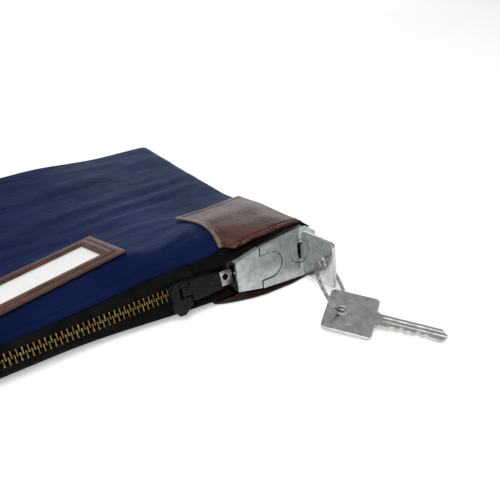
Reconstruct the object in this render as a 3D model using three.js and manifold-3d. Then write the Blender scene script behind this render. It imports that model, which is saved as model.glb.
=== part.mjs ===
// Locking zip deposit bag, lying flat: nylon bag, metal zip, corner lock, two keys on a split ring.
// Millimetres, +Z up, the zip along X at the front, the lock at the right-hand front corner.
import * as THREE from 'three';
import { mergeVertices } from 'three/addons/utils/BufferGeometryUtils.js';
import Module from 'manifold-3d';

const wasm = await Module();
wasm.setup();

// Bag. Lengths are measured from the left end (x) and from a line just behind the zip (y).
const BAG_W = 284;
const BAG_D = 211;
const ORIGIN_Y = 105;
const FABRIC = 1.2;
const GAP = 0.3;
const HEM_Y = 18;

// Zip chain: its centre line, its lean back from upright, its teeth.
const CHAIN_Y = 8.0;
const CHAIN_Z = 12.3;
const CHAIN_LEAN = THREE.MathUtils.degToRad(20);
const CHAIN_X0 = 10;
const CHAIN_X1 = 213.6;
const TOOTH_PITCH = 2.54;
const TOOTH_W = 0.9;
const TOOTH_T = 2.2;
const TOOTH_REACH = 0.8;
const TOOTH_ROOT = 3.1;
const TAPE_T = 0.8;

// Slider, pull and tongue, in the chain's own frame.
const SLIDER_X = 200;
const SLIDER_L = 13;
const SLIDER_HALF_W = 4.7;
const PULL_OFFSET = 5.4;
const PULL_T = 2.4;
const PULL_HALF_W = 6.2;
const PULL_END_X = 223.8;
const HINGE_X = 203.5;
const TONGUE_T = 1.0;
const TONGUE_HALF_W = 4.1;
const TONGUE_TIP_X = 230.0;
const TONGUE_HOLE_X = 226.8;
const TONGUE_HOLE_R = 1.6;

// Lock, in the lock's own frame: x to the right, y into the bag, z up the face.
const LOCK_X = 230.3;
const LOCK_Y = -4.83;
const LOCK_Z = 15.35;
const LOCK_LEAN = THREE.MathUtils.degToRad(8.5);
const NOSE_L = 14.95;
const NOSE_H = 11.6;
const LOCK_END_H = 8.2;
const APEX_X = 42.5;
const APEX_H = 14.1;
const LOCK_L = 51.6;
const PLATE_T = 3.0;
const RIM_Y = 6.4;
const BASE_DEPTH = 36.5;
const WALL = 1.3;
const SCREW_X = [12, 29.4];
const PLUG_X = 41;
const PLUG_Z = 1.2;
const PLUG_R = 6.7;
const PLUG_L = 27.6;
const PIN_X = 2.7;
const STACKS = 5;
const STACK_Y = 5.2;
const STACK_PITCH = 4.1;

// Keys and ring.
const BOW_L = 24.7;
const BOW_H = 25.4;
const KEY_T = 2.0;
const BOW_GAP = 2.2;
const BLADE_L = 34.1;
const BLADE_TOP = 3.7;
const BLADE_BOTTOM = -3.6;
const KEY_HOLE_R = 2.6;
const KEY_HOLE_IN = 8;
const RING_WIRE_R = 0.9;
const RING_R = 14.36;
const RING_CENTRE = [266.92, -34.68, 12.74];
const RING_NORMAL = [0.6088, -0.5522, 0.5696];

// The spare key rests on the ring and on its own tip: its hole's place, and its yaw, pitch and roll.
const SPARE_HOLE = [263.99, -46.07, 4.85];
const SPARE_TURN = [-54.3, 3.4, 11.58];

// Label holder: its near right-hand corner, its size, its turn on the bag, how it climbs to the right
// and how it falls to the rear.
const HOLDER_CORNER = [189.7, 36.1, 24.3];
const HOLDER_L = 82;
const HOLDER_W = 38.3;
const HOLDER_TURN = THREE.MathUtils.degToRad(8.8);
const HOLDER_CLIMB = 0.052;
const HOLDER_FALL = 0.199;
const RAIL_NEAR = 8.4;
const RAIL_FAR = 7;
const RAIL_END = 9.6;

const NAVY = ['fabric', 0x1b2547, 0.0, 0.75];
const TAPE = ['tape', 0x101012, 0.0, 0.9];
const VINYL = ['vinyl', 0x5a2620, 0.0, 0.5];
const BRASS = ['brass', 0x9a7b3c, 1.0, 0.4];
const STEEL = ['steel', 0xb9bcbe, 1.0, 0.35];
const NICKEL = ['nickel', 0xc4c6c4, 1.0, 0.3];
const BLACK = ['black_metal', 0x151515, 0.4, 0.5];
const CARD = ['card', 0xf4f4f2, 0.0, 0.8];
const CLEAR = ['clear_plastic', 0xdfe6ea, 0.0, 0.15];

const group = new THREE.Group();

function bare(geometry) {
  const g = geometry.clone();
  g.deleteAttribute('normal');
  g.deleteAttribute('uv');
  return mergeVertices(g, 1e-4);
}

function solid(geometry) {
  const g = bare(geometry);
  const mesh = new wasm.Mesh({
    numProp: 3,
    vertProperties: new Float32Array(g.attributes.position.array),
    triVerts: new Uint32Array(g.index.array),
  });
  mesh.merge();
  return new wasm.Manifold(mesh);
}

function geometryOf(manifold) {
  const mesh = manifold.getMesh();
  const g = new THREE.BufferGeometry();
  g.setAttribute('position', new THREE.BufferAttribute(new Float32Array(mesh.vertProperties), 3));
  g.setIndex(new THREE.BufferAttribute(new Uint32Array(mesh.triVerts), 1));
  return g;
}

function join(...parts) {
  return geometryOf(wasm.Manifold.union(parts.map(solid)));
}

function cut(body, ...tools) {
  return geometryOf(solid(body).subtract(wasm.Manifold.union(tools.map(solid))));
}

function box(x0, x1, y0, y1, z0, z1) {
  const g = new THREE.BoxGeometry(x1 - x0, y1 - y0, z1 - z0);
  return g.translate((x0 + x1) / 2, (y0 + y1) / 2, (z0 + z1) / 2);
}

// A rod along 'x', 'y' or 'z' from a to b, centred on the other two coordinates.
function rod(axis, a, b, p, q, radius, sides = 16) {
  const g = new THREE.CylinderGeometry(radius, radius, b - a, sides);
  if (axis === 'x') {
    return g.rotateZ(-Math.PI / 2).translate((a + b) / 2, p, q);
  }
  if (axis === 'y') {
    return g.translate(p, (a + b) / 2, q);
  }
  return g.rotateX(Math.PI / 2).translate(p, q, (a + b) / 2);
}

// A prism: outline points [x, z] carried from y0 to y1.
function prismY(points, y0, y1) {
  const shape = new THREE.Shape(points.map(([x, z]) => new THREE.Vector2(x, z)));
  const g = new THREE.ExtrudeGeometry(shape, { depth: y1 - y0, bevelEnabled: false, steps: 1 });
  return g.rotateX(Math.PI / 2).translate(0, y1, 0);
}

// A prism: outline points [y, z] carried from x0 to x1.
function prismX(points, x0, x1) {
  const shape = new THREE.Shape(points.map(([y, z]) => new THREE.Vector2(y, z)));
  const g = new THREE.ExtrudeGeometry(shape, { depth: x1 - x0, bevelEnabled: false, steps: 1 });
  return g.rotateY(Math.PI / 2).rotateX(Math.PI / 2).translate(x0, 0, 0);
}

function clamp01(t) {
  return Math.min(1, Math.max(0, t));
}

function smooth(a, b, t) {
  const s = clamp01((t - a) / (b - a));
  return s * s * (3 - 2 * s);
}

function mix(a, b, t) {
  return a + (b - a) * t;
}

// Straight-line reading of a table of [place, value] rows.
function along(table, t) {
  if (t <= table[0][0]) {
    return table[0][1];
  }
  for (let i = 1; i < table.length; i += 1) {
    const [a, va] = table[i - 1];
    const [b, vb] = table[i];
    if (t <= b) {
      return mix(va, vb, (t - a) / (b - a));
    }
  }
  return table[table.length - 1][1];
}

// Height of the bag's top at four stations across its width.
const TOP_LEFT_END = [[18, 12], [60, 5.4], [211, 4.4]];
const TOP_MIDDLE = [[18, 15.5], [24, 18.4], [36, 16.3], [60, 11.8], [74, 9.2], [92, 8], [160, 8.6], [211, 8.8]];
const TOP_BY_LOCK = [[18, 21], [24, 24], [36, 25], [44, 23.4], [74, 17.6], [92, 15], [120, 12], [150, 10],
  [180, 9.8], [211, 10]];
const TOP_CORNER = [[6, 28.2], [20, 27.6], [40, 25], [55, 20.5], [70, 15.8], [92, 13], [120, 11], [150, 9],
  [180, 6.8], [211, 4.8]];
const TOP_RIGHT_END = [[4, 26], [21.5, 24.6], [40, 20.5], [59, 17], [69, 15], [88, 12], [121, 10], [149, 8],
  [180, 6], [211, 4.4]];

function topHeight(x, y) {
  let z = mix(along(TOP_MIDDLE, y), along(TOP_BY_LOCK, y), clamp01((x - 94) / 106));
  z = mix(z, along(TOP_CORNER, y), smooth(216, 244, x));
  z = mix(along(TOP_LEFT_END, y), z, smooth(0, 42, x));
  return mix(z, along(TOP_RIGHT_END, y), smooth(270, BAG_W, x));
}

function span(a, b, n) {
  return Array.from({ length: n + 1 }, (_, i) => mix(a, b, i / n));
}

// A thin closed body: a grid of points and the same grid moved by the offset each point returns.
function sheet(us, vs, point, offset) {
  const nu = us.length;
  const nv = vs.length;
  const positions = [];
  for (const side of [0, 1]) {
    for (const u of us) {
      for (const v of vs) {
        const p = point(u, v);
        const o = offset(u, v);
        positions.push(p[0] + side * o[0], p[1] + side * o[1], p[2] + side * o[2]);
      }
    }
  }
  const id = (side, i, j) => side * nu * nv + i * nv + j;
  const index = [];
  const quad = (a, b, c, d) => index.push(a, b, c, a, c, d);
  for (let i = 0; i + 1 < nu; i += 1) {
    for (let j = 0; j + 1 < nv; j += 1) {
      quad(id(1, i, j), id(1, i + 1, j), id(1, i + 1, j + 1), id(1, i, j + 1));
      quad(id(0, i, j), id(0, i, j + 1), id(0, i + 1, j + 1), id(0, i + 1, j));
    }
  }
  for (let i = 0; i + 1 < nu; i += 1) {
    quad(id(0, i, 0), id(0, i + 1, 0), id(1, i + 1, 0), id(1, i, 0));
    quad(id(0, i + 1, nv - 1), id(0, i, nv - 1), id(1, i, nv - 1), id(1, i + 1, nv - 1));
  }
  for (let j = 0; j + 1 < nv; j += 1) {
    quad(id(0, 0, j + 1), id(0, 0, j), id(1, 0, j), id(1, 0, j + 1));
    quad(id(0, nu - 1, j), id(0, nu - 1, j + 1), id(1, nu - 1, j + 1), id(1, nu - 1, j));
  }
  const g = new THREE.BufferGeometry();
  g.setAttribute('position', new THREE.BufferAttribute(new Float32Array(positions), 3));
  g.setIndex(index);
  return g;
}

function add(name, geometry, [kind, color, metalness, roughness]) {
  const material = new THREE.MeshStandardMaterial({ name: kind, color, metalness, roughness });
  const placed = bare(geometry).translate(-BAG_W / 2, -ORIGIN_Y, 0);
  placed.computeVertexNormals();
  const mesh = new THREE.Mesh(placed, material);
  mesh.name = name;
  group.add(mesh);
}

function inLock(geometry) {
  return geometry.clone().rotateX(-LOCK_LEAN).translate(LOCK_X, LOCK_Y, LOCK_Z);
}

function inChain(geometry) {
  return geometry.clone().rotateX(-CHAIN_LEAN).translate(0, CHAIN_Y, CHAIN_Z);
}

function chainPoint(x, back, up) {
  const c = Math.cos(CHAIN_LEAN);
  const s = Math.sin(CHAIN_LEAN);
  return [x, CHAIN_Y + back * c + up * s, CHAIN_Z - back * s + up * c];
}

const PANEL_X = [...span(1, 90, 6), ...span(94, 200, 8), ...span(206, 283, 9)];

function lowerFront(x) {
  return 14 - 15 * smooth(140, 231, x);
}

function bagPanels() {
  const panelT = [0, 0.0313, 0.094, 0.16, 0.28, 0.36, 0.48, 0.66, 0.82, 1];
  const up = sheet(PANEL_X, panelT, (x, t) => {
    const y = mix(HEM_Y, BAG_D - 1, t);
    return [x, y, topHeight(x, y) - FABRIC];
  }, () => [0, 0, FABRIC]);
  add('upper_panel', up, NAVY);
  const low = sheet([...span(0, 140, 4), ...span(150, 230.8, 6)], span(0, 1, 2), (x, t) => {
    return [x, mix(lowerFront(x), BAG_D, t), 0];
  }, () => [0, 0, FABRIC]);
  const rear = box(230, BAG_W, 69.8, BAG_D, 0, FABRIC);
  add('lower_panel', join(low, rear), NAVY);
}

function lockBottom(x) {
  const u = x - LOCK_X;
  const half = along([[0, LOCK_END_H], [NOSE_L, NOSE_H], [APEX_X, APEX_H], [LOCK_L, 10]], u);
  return LOCK_Z - half * Math.cos(LOCK_LEAN);
}

function cornerPatches() {
  const us = span(0, 1, 8);
  const vs = [0, 0.06, 0.18, 0.34, 0.52, 0.7, 0.86, 1];
  const upper = sheet(us, vs, (s, t) => {
    const front = mix(19, 8.4, smooth(0, 0.62, s));
    const y = mix(front, 70, t);
    const left = 231.5 + 4 * t * t + 5 * Math.sin(Math.PI * t);
    const x = mix(left, 283.6, s);
    return [x, y, topHeight(x, y) + 2 * GAP];
  }, () => [0, 0, 1.1]);
  add('patch_upper', upper, VINYL);
  const floor = box(231.2, BAG_W - 0.4, 0.5, 69.4, 0, FABRIC);
  const tongue = box(231.2, 252, -5.4, 1, 0, FABRIC);
  const wall = prismY([[231.2, 0], [252, 0], [252, lockBottom(252) - 0.9], [245, lockBottom(245) - 0.9],
    [231.2, lockBottom(231.2) - 0.9]], -5.6, -4.4);
  add('patch_lower', join(floor, tongue, wall), VINYL);
}

function zipTapes() {
  const xs = PANEL_X.filter((x) => x < 229);
  const upperPath = (x) => {
    const a = chainPoint(x, 0, 3.5);
    const b = chainPoint(x, 0, 5.8);
    const under = FABRIC + GAP + TAPE_T;
    const hem = [x, HEM_Y, topHeight(x, HEM_Y) - under];
    const back = [x, 24.5, topHeight(x, 24.5) - under - 0.2];
    const crest = [x, mix(b[1], hem[1], 0.45), mix(b[2], hem[2], 0.3)];
    return [a, b, crest, hem, back];
  };
  const tapeUpper = sheet(xs, [0, 1, 2, 3, 4], (x, i) => upperPath(x)[i], (x, i) => {
    return i < 2 ? [0, -TAPE_T * 0.94, TAPE_T * 0.34] : [0, -TAPE_T * 0.2, TAPE_T * 0.95];
  });
  add('zip_tape_upper', tapeUpper, TAPE);
  const lowerPath = (x) => {
    const a = chainPoint(x, 0, -3.5);
    const b = chainPoint(x, 0, -5.6);
    const shift = -8 * smooth(140, 229, x);
    return [a, b, [x, 7.6 + shift, 4.0], [x, 11.5 + shift, 2.3], [x, 24, 1.6]];
  };
  const tapeLower = sheet(xs, [0, 1, 2, 3, 4], (x, i) => lowerPath(x)[i], (x, i) => {
    return [[0, 0.75, -0.27], [0, 0.75, -0.1], [0, 0.7, 0.4], [0, 0.3, 0.72], [0, 0, TAPE_T]][i];
  });
  add('zip_tape_lower', tapeLower, TAPE);
}

// One row of teeth on its bead; side is 1 for the upper row and -1 for the lower one.
function toothRow(side) {
  const bar = (x0, x1, t, a, b) => box(x0, x1, -t / 2, t / 2, Math.min(side * a, side * b),
    Math.max(side * a, side * b));
  const parts = [bar(CHAIN_X0, CHAIN_X1, 0.9, 2.3, 3.2)];
  const first = CHAIN_X0 + 0.9 + (side > 0 ? 0 : TOOTH_PITCH / 2);
  for (let x = first; x + TOOTH_W < CHAIN_X1; x += TOOTH_PITCH) {
    parts.push(bar(x, x + TOOTH_W, TOOTH_T, -TOOTH_REACH, TOOTH_ROOT));
  }
  return join(...parts);
}

function zipChain() {
  add('teeth_upper', inChain(toothRow(1)), BRASS);
  add('teeth_lower', inChain(toothRow(-1)), BRASS);
  add('stop_left', inChain(box(6.2, 9.6, -1.3, 1.3, -3.1, 3.1)), BRASS);
  add('stop_right', inChain(box(214, 217, -1.3, 1.3, -3.1, 3.1)), BRASS);
}

function sliderParts() {
  const x0 = SLIDER_X - SLIDER_L / 2;
  const x1 = SLIDER_X + SLIDER_L / 2;
  const front = prismY([[x0, -3.6], [x0 + 3, -SLIDER_HALF_W], [x1, -SLIDER_HALF_W], [x1, SLIDER_HALF_W],
    [x0 + 3, SLIDER_HALF_W], [x0, 3.6]], -2.9, -1.6);
  const earTop = box(HINGE_X - 2.4, HINGE_X + 2.2, -7.2, -2.8, 2.9, 4.3);
  const earBottom = box(HINGE_X - 2.4, HINGE_X + 2.2, -7.2, -2.8, -4.3, -2.9);
  const bore = rod('z', -6, 6, HINGE_X, -PULL_OFFSET, 1.1);
  add('slider_body', inChain(cut(join(front, earTop, earBottom), bore)), BLACK);
  const back = prismY([[x0, -3], [x0 + 3, -4], [x1, -4], [x1, 4], [x0 + 3, 4], [x0, 3]], 1.5, 2.4);
  add('slider_back_plate', inChain(back), BLACK);
  add('pull_pin', inChain(rod('z', -4.3, 4.3, HINGE_X, -PULL_OFFSET, 0.8)), STEEL);
}

function pullParts() {
  const y0 = -PULL_OFFSET - PULL_T / 2;
  const y1 = -PULL_OFFSET + PULL_T / 2;
  const knuckle = box(HINGE_X - 1.8, HINGE_X + 5, y0, y1, -2.5, 2.5);
  const grip = prismY([[HINGE_X + 3.7, -PULL_HALF_W + 1.4], [HINGE_X + 5.1, -PULL_HALF_W],
    [PULL_END_X, -PULL_HALF_W], [PULL_END_X, PULL_HALF_W], [HINGE_X + 5.1, PULL_HALF_W],
    [HINGE_X + 3.7, PULL_HALF_W - 1.4]], y0, y1);
  const pinBore = rod('z', -6, 6, HINGE_X, -PULL_OFFSET, 1.1);
  const slotY0 = -PULL_OFFSET - TONGUE_T / 2 - 0.15;
  const slotY1 = -PULL_OFFSET + TONGUE_T / 2 + 0.15;
  const slot = box(211.7, PULL_END_X + 1, slotY0, slotY1, -TONGUE_HALF_W - 0.3, TONGUE_HALF_W + 0.3);
  const rivetBore = rod('y', y0 - 1, y1 + 1, 218, 0, 1.75, 20);
  add('pull_grip', inChain(cut(join(knuckle, grip), pinBore, slot, rivetBore)), BLACK);
  const blank = box(212, TONGUE_TIP_X, -PULL_OFFSET - TONGUE_T / 2, -PULL_OFFSET + TONGUE_T / 2,
    -TONGUE_HALF_W, TONGUE_HALF_W);
  const hole = rod('y', -PULL_OFFSET - 2, -PULL_OFFSET + 2, TONGUE_HOLE_X, 0, TONGUE_HOLE_R, 20);
  const rivetHole = rod('y', -PULL_OFFSET - 2, -PULL_OFFSET + 2, 218, 0, 1.75, 20);
  add('tongue', inChain(cut(blank, hole, rivetHole)), STEEL);
  add('tongue_rivet', inChain(rod('y', y0 - 0.1, y1 + 0.1, 218, 0, 1.4)), BLACK);
}

// Outline of the lock's front, from x = a to its right-hand end.
function faceOutline(a, shrink) {
  const half = (x) => along([[0, LOCK_END_H], [NOSE_L, NOSE_H], [APEX_X, APEX_H], [47, 13.2],
    [LOCK_L - shrink, 9.5]], x) - shrink;
  const xs = [a, ...[NOSE_L, 28, APEX_X, 47, LOCK_L - shrink].filter((x) => x > a + 0.5)];
  const top = xs.map((x) => [x, half(x)]);
  const bottom = xs.map((x) => [x, -half(x)]).reverse();
  return [...bottom, ...top];
}

function tonguePad(margin) {
  const r = 7 + margin;
  const points = [[NOSE_L - 2, -r], [21.3, -r]];
  for (let i = 1; i < 10; i += 1) {
    const a = -Math.PI / 2 + (Math.PI * i) / 10;
    points.push([21.3 + r * Math.cos(a), r * Math.sin(a)]);
  }
  points.push([21.3, r], [NOSE_L - 2, r]);
  return points;
}

function lockShell() {
  const topLine = [[0.3, 7.2], [NOSE_L, 10.4], [36, 13.0], [46.2, 13.0], [51, 7.6]];
  const outer = [[0.3, -8], [51, -8], ...[...topLine].reverse()];
  const inner = [[0.3 + WALL, -8 + WALL], [51 - WALL, -8 + WALL], [51 - WALL, 7.3], [45.1, 12.2],
    [36.4, 12.2], [NOSE_L, 9.4], [0.3 + WALL, 6.2]];
  const shell = prismY(outer, RIM_Y, BASE_DEPTH);
  const room = prismY(inner, RIM_Y - 1, BASE_DEPTH - WALL);
  const tongueWay = box(-1, 2.4, RIM_Y - 1, 10.4, -5.6, 5.4);
  const boltWay = box(48.8, 52, 12.4, 22, -2.4, 2.4);
  const screwA = rod('y', BASE_DEPTH - 3, BASE_DEPTH + 1, SCREW_X[0], 0, 1.5);
  const screwB = rod('y', BASE_DEPTH - 3, BASE_DEPTH + 1, SCREW_X[1], 0, 1.5);
  add('lock_base', inLock(cut(shell, room, tongueWay, boltWay, screwA, screwB)), STEEL);
  for (const [name, x] of [['base_screw_left', SCREW_X[0]], ['base_screw_right', SCREW_X[1]]]) {
    const head = rod('y', BASE_DEPTH - WALL - 1.5, BASE_DEPTH - WALL - GAP, x, 0, 2.6);
    const shank = rod('y', BASE_DEPTH - WALL - GAP - 0.2, BASE_DEPTH + 4.6, x, 0, 1.2);
    add(name, inLock(join(head, shank)), STEEL);
  }
  const backing = box(6, 46, BASE_DEPTH + GAP, BASE_DEPTH + 1.5, -7, 7);
  const a = rod('y', BASE_DEPTH - 1, BASE_DEPTH + 3, SCREW_X[0], 0, 1.5);
  const b = rod('y', BASE_DEPTH - 1, BASE_DEPTH + 3, SCREW_X[1], 0, 1.5);
  add('backing_plate', inLock(cut(backing, a, b)), STEEL);
}

function nosePlate() {
  const outline = faceOutline(0, 0).filter(([x]) => x <= NOSE_L);
  const front = prismY(outline.map(([x, z]) => [Math.min(x, NOSE_L - 0.4), z]), 0.6, 2.1);
  const skirt = prismY(outline.map(([x, z]) => [Math.min(x, NOSE_L - 0.4), z]), 0.6, RIM_Y - GAP);
  const hollow = prismY([[1.4, -6.9], [NOSE_L + 1, -10.2], [NOSE_L + 1, 10.2], [1.4, 6.9]], 2.1, RIM_Y + 1);
  const pad = prismY(tonguePad(0), 0.6, 2.1);
  add('nose_plate', inLock(join(cut(skirt, hollow), front, pad)), NICKEL);
}

function stackY(i) {
  return STACK_Y + STACK_PITCH * i;
}

function lockBlock() {
  const plate = prismY(faceOutline(NOSE_L, 0), 0, PLATE_T);
  const barrel = prismY([[33.4, -6.2], [48.6, -6.2], [48.6, 7], [44.6, 11.6], [37.4, 11.6], [33.4, 7]],
    PLATE_T - 0.5, 27);
  const pocket = prismY(tonguePad(0.4), -1, 2.4);
  const bore = rod('y', -1, 30, PLUG_X, PLUG_Z, PLUG_R + 0.35, 32);
  const tools = [pocket, bore];
  for (let i = 0; i < STACKS; i += 1) {
    tools.push(rod('z', PLUG_Z + 5, 13, PLUG_X, stackY(i), 1.25, 10));
  }
  tools.push(box(PLUG_X - 2.6, PLUG_X + 2.6, 3.6, 28, 11.0, 13));
  tools.push(box(PLUG_X + 5, 50, 14.6, 19.4, -1.9, 1.9));
  for (const x of [19, 27]) {
    tools.push(rod('y', 2.7, 4, x, 0, 0.9, 12));
  }
  add('lock_block', inLock(cut(join(plate, barrel), ...tools)), NICKEL);
  add('chamber_cap', inLock(box(PLUG_X - 2.3, PLUG_X + 2.3, 3.9, 26.8, 11.2, 11.9)), BRASS);
}

function keyway(margin) {
  return box(PLUG_X - KEY_T / 2 - margin, PLUG_X + KEY_T / 2 + margin, -2, BLADE_L + 3,
    PLUG_Z + BLADE_BOTTOM - margin, PLUG_Z + BLADE_TOP + margin);
}

function plugParts() {
  const barrel = rod('y', 0.15, PLUG_L, PLUG_X, PLUG_Z, PLUG_R, 32);
  const tail = rod('y', PLUG_L - 0.5, PLUG_L + 1.9, PLUG_X, PLUG_Z, 4.6, 24);
  const tools = [keyway(0.35)];
  for (let i = 0; i < STACKS; i += 1) {
    tools.push(rod('z', PLUG_Z + 2, PLUG_Z + 8, PLUG_X, stackY(i), 1.15, 10));
  }
  const camNeck = new THREE.TorusGeometry(4.9, 0.75, 6, 24).rotateX(Math.PI / 2);
  tools.push(camNeck.translate(PLUG_X, PLUG_L + 0.85, PLUG_Z));
  add('plug', inLock(cut(join(barrel, tail), ...tools)), STEEL);
  const clip = rod('y', PLUG_L + 0.55, PLUG_L + 1.15, PLUG_X, PLUG_Z, 6.0, 24);
  const eye = rod('y', PLUG_L, PLUG_L + 2, PLUG_X, PLUG_Z, 4.75, 24);
  const mouth = box(PLUG_X - 3, PLUG_X + 3, PLUG_L, PLUG_L + 2, PLUG_Z - 8, PLUG_Z);
  add('plug_clip', inLock(cut(clip, eye, mouth)), STEEL);
  for (let i = 0; i < STACKS; i += 1) {
    const y = stackY(i);
    const keyPin = rod('z', PLUG_Z + BLADE_TOP + 0.35, PLUG_Z + 6.5, PLUG_X, y, 0.85, 10);
    const driver = rod('z', PLUG_Z + 7.15, PLUG_Z + 8.35, PLUG_X, y, 0.9, 10);
    const spring = rod('z', PLUG_Z + 8.65, PLUG_Z + 9.7, PLUG_X, y, 0.8, 10);
    add(`key_pin_${i + 1}`, inLock(keyPin), BRASS);
    add(`driver_pin_${i + 1}`, inLock(driver), BRASS);
    add(`pin_spring_${i + 1}`, inLock(spring), STEEL);
  }
}

function latchParts() {
  const arm = box(1.7, 29, PLATE_T + GAP, PLATE_T + 1.1, -2.4, 2.4);
  const pin = rod('y', PLATE_T + 0.6, RIM_Y + 0.4, PIN_X, -0.2, 1.0, 16);
  const holes = [19, 27].map((x) => rod('y', 2, 6, x, 0, 0.9, 12));
  add('latch_arm', inLock(cut(join(arm, pin), ...holes)), STEEL);
  for (const [name, x] of [['latch_screw_left', 19], ['latch_screw_right', 27]]) {
    const shank = rod('y', 2.8, 4.6, x, 0, 0.6, 12);
    const head = rod('y', 4.4, 5.2, x, 0, 1.6, 12);
    add(name, inLock(join(shank, head)), STEEL);
  }
  add('lock_bolt', inLock(box(PLUG_X + 7.2, PLUG_X + 8.5, 15, 19, -1.5, 1.5)), STEEL);
  const coil = rod('y', RIM_Y - 0.4, BASE_DEPTH - WALL - 1.3, 23, 0, 2.2);
  const core = rod('y', 0, BASE_DEPTH, 23, 0, 1.5);
  add('return_spring', inLock(cut(coil, core)), STEEL);
}

function keyBlank(start) {
  const far = -BOW_GAP - BOW_L;
  const c = 1.6;
  const h = BOW_H / 2;
  const points = [[far + c, -h], [-BOW_GAP - c, -h], [-BOW_GAP, -h + c], [-BOW_GAP, -4.2], [start, -4.2],
    [start, BLADE_BOTTOM], [17, BLADE_BOTTOM], [BLADE_L - 6, BLADE_BOTTOM], [BLADE_L - 2.5, -0.6],
    [BLADE_L - 2.5, 0.4], [BLADE_L - 5.2, BLADE_TOP - 0.3], [start, BLADE_TOP], [start, 4.4], [-BOW_GAP, 4.4],
    [-BOW_GAP, h - c], [-BOW_GAP - c, h], [far + c, h], [far, h - c], [far, -h + c]];
  const body = prismX(points, -KEY_T / 2, KEY_T / 2);
  const hole = rod('x', -3, 3, far + KEY_HOLE_IN, 0, KEY_HOLE_R, 20);
  return cut(body, hole);
}

function ringAndKeys() {
  const held = keyBlank(-0.9).translate(PLUG_X, 0, PLUG_Z);
  add('key_in_lock', inLock(held), NICKEL);
  const spare = keyBlank(-0.9).translate(0, BOW_GAP + BOW_L - KEY_HOLE_IN, 0);
  const [yaw, pitch, roll] = SPARE_TURN.map(THREE.MathUtils.degToRad);
  const long = new THREE.Vector3(Math.cos(yaw) * Math.cos(pitch), Math.sin(yaw) * Math.cos(pitch),
    -Math.sin(pitch));
  const flat = new THREE.Vector3(-Math.sin(yaw), Math.cos(yaw), 0);
  const side = flat.applyAxisAngle(long, roll);
  const face = new THREE.Vector3().crossVectors(long, side);
  spare.applyMatrix4(new THREE.Matrix4().makeBasis(face, long, side));
  add('spare_key', spare.translate(...SPARE_HOLE), NICKEL);
  const ring = new THREE.TorusGeometry(RING_R, RING_WIRE_R, 10, 40);
  const turn = new THREE.Quaternion().setFromUnitVectors(new THREE.Vector3(0, 0, 1),
    new THREE.Vector3(...RING_NORMAL).normalize());
  add('key_ring', ring.applyQuaternion(turn).translate(...RING_CENTRE), NICKEL);
}

// A point of the label holder: a from its left end, b from its near side, lift above its seat.
function holderPoint(a, b, lift) {
  const [x, y, z] = HOLDER_CORNER;
  const back = a - HOLDER_L;
  const c = Math.cos(HOLDER_TURN);
  const s = Math.sin(HOLDER_TURN);
  return [x + back * c - b * s, y + back * s + b * c, z + back * HOLDER_CLIMB - b * HOLDER_FALL + lift];
}

function holderSlab(a0, a1, b0, b1, lift0, lift1) {
  return sheet([a0, a1], [b0, b1], (a, b) => holderPoint(a, b, lift0), () => [0, 0, lift1 - lift0]);
}

function labelHolder() {
  const a0 = RAIL_END;
  const a1 = HOLDER_L - RAIL_END;
  const b0 = RAIL_NEAR;
  const b1 = HOLDER_W - RAIL_FAR;
  add('holder_backing', holderSlab(0, HOLDER_L, 0, HOLDER_W, 0.5, 0.9), TAPE);
  add('label_card', holderSlab(2, a1 + 1.5, b0 - 1.5, b1 + 1.5, 1.2, 1.5), CARD);
  add('clear_window', holderSlab(2, a1 + 1.5, b0 - 1.5, b1 + 1.5, 1.8, 2.0), CLEAR);
  add('holder_rail_near', holderSlab(0, HOLDER_L, 0, b0, 2.3, 3.6), VINYL);
  add('holder_rail_far', holderSlab(0, HOLDER_L, b1, HOLDER_W, 2.3, 3.6), VINYL);
  add('holder_rail_left', holderSlab(0, a0, b0 + 0.3, b1 - 0.3, 2.3, 3.6), VINYL);
  add('holder_rail_right', holderSlab(a1, HOLDER_L, b0 + 0.3, b1 - 0.3, 2.3, 3.6), VINYL);
}

function lockShroud() {
  const rise = (x) => along([[0, 7.6], [NOSE_L, 10.9], [36, 13.5], [46.2, 13.5], [51, 8.4]], x - LOCK_X);
  const stations = [0.7, NOSE_L, 25, 36, 46.2, 51.7].map((u) => LOCK_X + u);
  const g = sheet(stations, [3.6, 7.9], (x, y) => {
    const into = (y - LOCK_Y) / Math.cos(LOCK_LEAN);
    return [x, y, LOCK_Z + rise(x) * Math.cos(LOCK_LEAN) - (into - 1) * Math.sin(LOCK_LEAN) + 0.35];
  }, () => [0, 0, 0.7]);
  add('tape_tail', g, TAPE);
}

bagPanels();
cornerPatches();
zipTapes();
zipChain();
sliderParts();
pullParts();
lockShell();
nosePlate();
lockBlock();
plugParts();
latchParts();
ringAndKeys();
labelHolder();
lockShroud();

export default group;
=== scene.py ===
"""Looks of a locking zip deposit bag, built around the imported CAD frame.

Shapes are written in bag millimetres: x from the bag's left end, y from its front edge, z up from
the table. WORLD carries them into the CAD frame in metres. The lock and the zip chain lean back,
so their pieces are written in frames of their own (LOCK and CHAIN), where y goes into the bag.
"""

from math import copysign, cos, exp, pi, radians, sin, tan

import bmesh
import bpy
import numpy as np
from mathutils import Matrix, Vector, noise


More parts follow.
